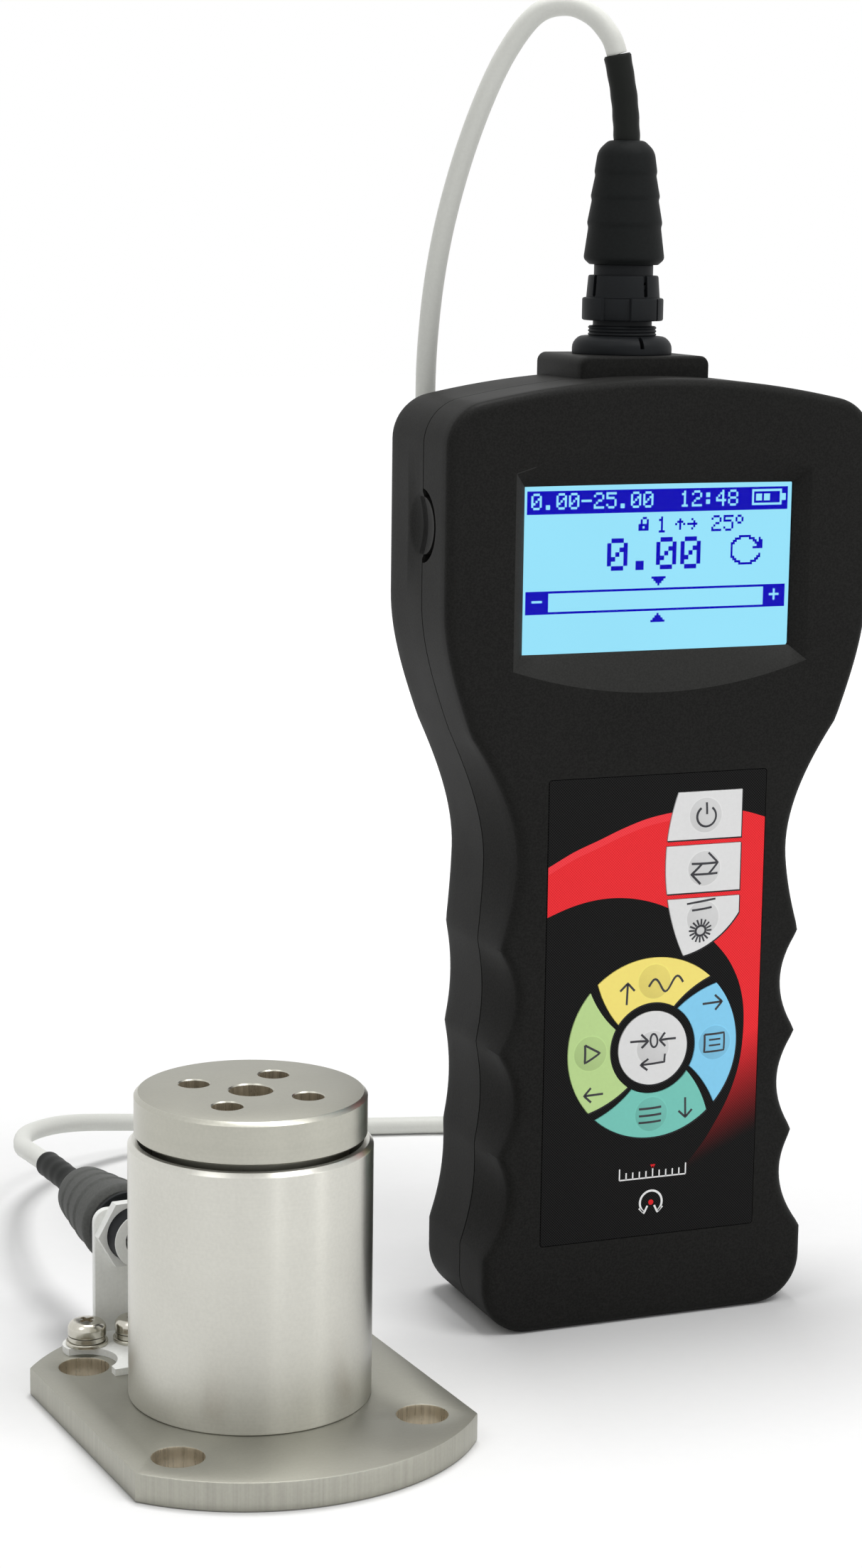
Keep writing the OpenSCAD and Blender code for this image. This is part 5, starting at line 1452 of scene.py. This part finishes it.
class TORQUE_OT_plate(Operator):
    """Base plate with its two flats and its holes"""
    bl_idname = "torque.plate"
    bl_label = "Base plate"

    def execute(self, context):
        s = settings().sensor
        steel = metal("plate", s.steel, (260, 1500, 260), 0.52, 0.10, 0.04)
        sawn = metal("plate_edge", tuple(c * 1.22 for c in s.steel), (900, 900, 8), 0.42, 0.55, 0.25)
        bore = metal("bore", linear(176, 166, 146), (900, 900, 40), 0.3, 1.3, 0.3, Metallic=0.55)
        r, half, t = mm(s, "plate_d") / 2, mm(s, "flats") / 2, mm(s, "plate_t")
        outer = plate_loop(r, half)
        bolts, screws, heads = (holes_at(4, *BOLTS), holes_at(4, *SCREWS, 32),
                                holes_at(4, *SCREWS[:2], 4.65, 40))
        small = [circle(*at, SCREW_R, 32) for at in (EAR, INNER)]
        form = Form()
        rim, soft = grow(outer, -0.35), grow(outer, -0.1)
        wide = [grow(h, 0.3) for h in bolts]
        form.floor(rim, wide + screws + small, t)
        form.floor(rim, wide + heads, 0)
        form.rise([(rim, t), (soft, t - 0.1)])
        form.rise([(soft, t - 0.1), (outer, t - 0.35), (outer, 0.35)], 1)
        form.rise([(outer, 0.35), (soft, 0.1), (rim, 0)])
        for h, mouth in zip(bolts, wide):
            bevel = grow(h, 0.08)
            form.rise([(mouth, t), (bevel, t - 0.1)])
            form.rise([(bevel, t - 0.1), (h, t - 0.35), (h, 0.35), (bevel, 0.1)], 2)
            form.rise([(bevel, 0.1), (mouth, 0)])
        for h in small:
            form.rise([(h, t), (h, 0.4)], 2)
            form.floor(h, [], 0.4, 2)
        for h, head in zip(screws, heads):
            form.rise([(h, t), (h, 2.85)], 2)
            form.floor(head, [h], 2.85, 2)
            form.rise([(head, 2.85), (head, 0)], 2)
        piece("mounting_plate", form, [steel, sawn, bore], ["base_plate"], place=SENSOR, angle=30,
              slot="plate")
        return {"FINISHED"}


class TORQUE_OT_sensor(Operator):
    """Cover and measuring element with its disk"""
    bl_idname = "torque.sensor"
    bl_label = "Sensor cover and measuring element"

    def execute(self, context):
        s = settings().sensor
        cover = metal("cover", s.aluminium, (1800, 1, 2600), 0.33, 0.12, 0.06, turned=True, Anisotropic=0.8,
                      Anisotropic_Rotation=0.25)
        steel = metal("element", tuple(c * 1.42 for c in s.steel), (1200, 1, 1600), 0.34, 0.12, 0.05,
                      turned=True, Anisotropic=0.4, Anisotropic_Rotation=0.25)
        bore, face = FINISHES["bore"], FINISHES["plate"]
        for material in (cover, steel):
            g = Graph(material.node_tree)
            tangent = g.add("ShaderNodeTangent", direction_type="RADIAL", axis="Z")
            g.set(shader_of(material).inputs["Tangent"], tangent.outputs[0])
        r, t, top = mm(s, "cover_d") / 2, mm(s, "plate_t"), mm(s, "height")
        form = Form()
        form.turned(soften([(r - 2, t), (r - 0.25, t), (r, t + 0.25), (r, 59.1), (r - 0.85, 60), (r - 2, 60),
                            (r - 2, t)], 0.12), 192)
        shell = piece("cover", form, [cover], ["sensor_cover"], place=SENSOR, slot="cover", angle=40)
        lead = [[tuple(SENSOR @ Vector((x, y, z))) for x, z in circle(OUTLET_X, OUTLET_Z, 3.15, 40)]
                for y in (12, 30)]
        cut(shell, [capped(lead)])

        form = Form()
        disk_r = r - 1.3
        holes, pilot = holes_at(4, *DISK_HOLES, 48), circle(0, 0, 4.5, 64)
        wide, pilot_wide = [grow(h, 0.22) for h in holes], grow(pilot, 0.25)
        form.floor(circle(0, 0, disk_r - 0.85, 192), [pilot_wide] + wide, top, 2)
        form.turned([(disk_r - 0.85, top), (disk_r - 0.75, top - 0.05), (disk_r, top - 0.8), (disk_r, 61.6),
                     (disk_r - 0.4, 61.2), (20, 61.2), (20, 51.2), (8, 51.2), (8, 12), (22.9, 12), (22.9, 6),
                     (5, 6), (5, 50), (0, 50)], 192)
        for h, mouth, bevel, deep, end in ([(h, w, 0.25, 15, 1) for h, w in zip(holes, wide)]
                                           + [(pilot, pilot_wide, 0.3, 9, 0)]):
            form.rise([(mouth, top), (h, top - bevel)])
            form.rise([(h, top - bevel), (h, top - deep)], 1)
            form.floor(h, [], top - deep, end)
        piece("measuring_disk", form, [steel, bore, face], ["measuring_element"], place=SENSOR, angle=30,
              slot="plate")
        return {"FINISHED"}


class TORQUE_OT_outlet(Operator):
    """Sensor connector with its boot and sleeve"""
    bl_idname = "torque.outlet"
    bl_label = "Sensor outlet"

    def execute(self, context):
        c = settings().connector
        # Profiles are turned about the vertical and laid back along +Y
        tip_back = Matrix.Rotation(math.radians(-90), 4, "X")
        lay = SENSOR @ Matrix.Translation((OUTLET_X, 0, OUTLET_Z)) @ tip_back
        form = Form()
        profile = [(3.6, 33), (6, 33), (6, 41.7), (8, 41.7), (8, 42.7), (6.5, 42.7), (6.5, 44.2), (4.6, 44.2),
                   (4.6, 61.2), (0, 61.2), (0, 40.2), (3.6, 40.2), (3.6, 33)]
        form.turned(soften(profile, 0.15), 72)
        form.finish = [1 if max(form.points[q][2] for q in face) < 41 else 0 for face in form.faces]
        nylon = moulded("nut_nylon", linear(232, 233, 230), 1500, 0.06, 0.5, 0.03, 0.3)
        piece("outlet_shell", form, [FINISHES["connector"], nylon], ["sensor_connector"], place=lay,
              slot="connector")
        form = Form()
        profile = [(r, 44.2 + z, *more) for r, z, *more in boot_profile(c)] + [(4.66, 61.4)]
        form.turned(soften(profile, 0.9, 4), 128)
        # The lighter grey of this boot is painted light
        piece("boot_sensor", form, [FINISHES["boot_painted_light"]], ["sensor_boot"], place=lay, slot="boot",
              angle=50)
        way = route(SENSOR_SLEEVE, 12)
        radii = [2.9 + 0.05 * math.sin(i * 1.1) - (0.25 if i == 0 else 0) for i in range(len(way))]
        piece("sleeve_sensor", capped(tube(way, radii, 40)), [FINISHES["sleeve"]], ["sensor_sleeve"],
              slot="sleeve", angle=50)
        finish_node("connector_nut", nylon)
        finish_node("sensor_lead", moulded("lead_jacket", linear(120, 120, 124), 1500, 0.1, 0.5, 0.05, 0.4))
        finish_node("lead_grommet", FINISHES["boot"])
        return {"FINISHED"}


class TORQUE_OT_bracket(Operator):
    """Bracket behind the cover, its screws and washers"""
    bl_idname = "torque.bracket"
    bl_label = "Bracket and fasteners"

    def execute(self, context):
        s = settings().sensor
        sheet = metal("bracket", s.sheet, (700, 700, 120), 0.5, 0.12, 0.05, Metallic=0.0)
        bright = metal("screw_steel", linear(196, 193, 182), (500, 500, 500), 0.22, 0.3, 0.08)
        # Upright, with rounded upper corners and the outlet's hole
        x0, x1 = -19.0, -3.0
        loop = [(x0, 7.3), (x1, 7.3)] + arc(x1 - 3, 32, 3, 0, 90, 10) + arc(x0 + 3, 32, 3, 90, 180, 10)
        hole, hem = circle(OUTLET_X, OUTLET_Z, 6.1, 64), grow(loop, -0.18)
        form = Form()
        for y, edge_y in ((40.2, 40.38), (41.7, 41.52)):
            form.fill(hem, [hole], y)
            form.sink([(hem, y), (loop, edge_y)])
        form.sink([(loop, 40.38), (loop, 41.52)])
        form.sink([(hole, 40.2), (hole, 41.7)])
        # Foot, cut round the cover and the mounting hole, with an ear under the outer screw
        way = BOLTS[0] * math.cos(math.radians(45))
        bolt = (-way, way)
        tab_x, back_y, front_y = -11, 41.7, 18.5
        bolt_gap, cover_gap, rim_r, ear_r = 7.05, 25.5, 47.6, 5.2

        def on_foot(p):
            box = x0 < p.x < x1 and front_y < p.y < back_y
            tab = EAR[0] < p.x < tab_x and front_y < p.y < EAR[1]
            near = math.dist(p, EAR) < ear_r
            clear = cover_gap < math.hypot(p.x, p.y) < rim_r and math.dist(p, bolt) > bolt_gap
            open_ = math.dist(p, EAR) > SCREW_R and math.dist(p, INNER) > SCREW_R
            return 0 if (box or tab or near) and clear and open_ and abs(p.x) < 36.6 else None
        loops = [[(x0, front_y), (x1, front_y), (x1, back_y), (x0, back_y)],
                 [(EAR[0], front_y), (tab_x, front_y), (tab_x, EAR[1]), EAR],
                 circle(*EAR, ear_r, 64), circle(0, 0, cover_gap, 192), circle(*bolt, bolt_gap, 96),
                 circle(0, 0, rim_r, 192), circle(*EAR, SCREW_R, 32), circle(*INNER, SCREW_R, 32)]
        verts, kept = triangles(loops, on_foot)
        top, low = ([(v.x, v.y, z) for v in verts] for z in (7.5, 6.0))
        form.add(top, [f for f, _ in kept])
        form.add(low, [f[::-1] for f, _ in kept])
        # The edges of the kept area are those that no neighbour has the other way round
        edges = dict.fromkeys(edge for f, _ in kept for edge in zip(f, f[1:] + f[:1]))
        border = [(a, b) for a, b in edges if (b, a) not in edges]
        form.add(top + low, [[a, a + len(top), b + len(top), b] for a, b in border])
        piece("bracket_sheet", form, [sheet], ["connector_bracket"], place=SENSOR, slot="bracket", angle=35)

        screws, washers = Form(), Form()
        seat = 9.5
        crown, pit = seat + 3.2, seat + 1.9
        for at in (EAR, INNER):
            screws.turned(soften([(2.5, seat), (2.5, seat - 7.6), (0, seat - 7.6)], 0.2), 48, at)
            profile = [(2.5, seat), (4.1, seat), (4.1, seat + 2.0, 0.5), (3.3, seat + 3.0, 0.9),
                       (1.9, crown, 0.5)]
            screws.turned(soften(profile, 0.3, 5), 64, at)
            cross = []
            for q in range(4):
                out, along = axes_at(90 * q + 20)
                cross += [tuple(Vector(at) + out * p + along * w)
                          for p, w in ((0.5, -0.5), (1.75, -0.5), (1.75, 0.5))]
            inner = grow(cross, -0.15)
            screws.floor(circle(*at, 1.9, 64), [cross], crown)
            screws.rise([(cross, crown), (inner, pit)], 1)
            screws.floor(inner, [], pit, 1)
            # Flat washer, and a split spring washer on it
            flat_washer = [(2.55, 7.5), (4.5, 7.5), (4.5, 8.3), (2.55, 8.3), (2.55, 7.5)]
            washers.turned(soften(flat_washer, 0.15), 64, at)
            rings = []
            for share in (k / 71 for k in range(72)):
                a = math.radians(15 + 345 * share)
                rings.append([(at[0] + r * math.cos(a), at[1] + r * math.sin(a), z + 0.16 * share)
                              for r, z in ((2.6, 8.3), (4.0, 8.3), (4.0, 9.3), (2.6, 9.3))])
            washers.skin(rings)
            washers.add(rings[0], [[0, 1, 2, 3]])
            washers.add(rings[-1], [[3, 2, 1, 0]])
        piece("screws", screws, [bright, FINISHES["bore"]], ["bracket_screws"], place=SENSOR,
              slot="screw_steel")
        piece("washers", washers, [bright], ["bracket_washers"], place=SENSOR, slot="screw_steel")
        return {"FINISHED"}


class TORQUE_OT_inside(Operator):
    """Finishes of the parts inside the housing and the sensor"""
    bl_idname = "torque.inside"
    bl_label = "Inner parts"

    def execute(self, context):
        finish_node("main_board", moulded("board", linear(30, 96, 58), 500, 0.25, 0.4, 0.05, 0.5))
        finish_node("battery_pack", moulded("battery", linear(58, 92, 150), 900, 0.1, 0.35, 0.04, 0.5))
        finish_node("housing_screws", FINISHES["screw_steel"])
        finish_node("element_screws", metal("dark_screw", linear(96, 96, 98), (500, 500, 500), 0.35, 0.3))
        finish_node("strain_gauges", moulded("gauge", linear(214, 158, 84), 2500, 0.2, 0.4, 0.05, 0.5))
        return {"FINISHED"}


# Add-on

OPERATORS = (TORQUE_OT_stage, TORQUE_OT_cable, TORQUE_OT_front_shell, TORQUE_OT_rear_shell, TORQUE_OT_display,
             TORQUE_OT_overlay, TORQUE_OT_keys, TORQUE_OT_connector, TORQUE_OT_plate, TORQUE_OT_sensor,
             TORQUE_OT_outlet, TORQUE_OT_bracket, TORQUE_OT_inside)


class TorqueTesterSettings(PropertyGroup):
    housing: PointerProperty(type=HousingSettings)
    display: PointerProperty(type=DisplaySettings)
    keypad: PointerProperty(type=KeypadSettings)
    connector: PointerProperty(type=ConnectorSettings)
    cable: PointerProperty(type=CableSettings)
    sensor: PointerProperty(type=SensorSettings)
    stage: PointerProperty(type=StageSettings)


class TORQUE_PT_panel(Panel):
    """Lists the pieces and their sizes"""
    bl_label = "Torque tester"
    bl_idname = "TORQUE_PT_panel"
    bl_space_type = "VIEW_3D"
    bl_region_type = "UI"
    bl_category = "Torque tester"

    def draw(self, context):
        for operator in OPERATORS:
            self.layout.operator(operator.bl_idname)
        for part in TorqueTesterSettings.__annotations__:
            values = getattr(context.scene.torque_tester, part)
            box = self.layout.box()
            box.label(text=part.capitalize())
            for name in values.__annotations__:
                box.prop(values, name)


CLASSES = (HousingSettings, DisplaySettings, KeypadSettings, ConnectorSettings, CableSettings, SensorSettings,
           StageSettings, TorqueTesterSettings, *OPERATORS, TORQUE_PT_panel)


def register():
    for cls in CLASSES:
        bpy.utils.register_class(cls)
    bpy.types.Scene.torque_tester = PointerProperty(type=TorqueTesterSettings)


def unregister():
    del bpy.types.Scene.torque_tester
    for cls in reversed(CLASSES):
        bpy.utils.unregister_class(cls)


def main():
    register()
    make_groups()
    for operator in OPERATORS:
        kind, name = operator.bl_idname.split(".")
        getattr(getattr(bpy.ops, kind), name)()


if __name__ == "__main__":
    main()
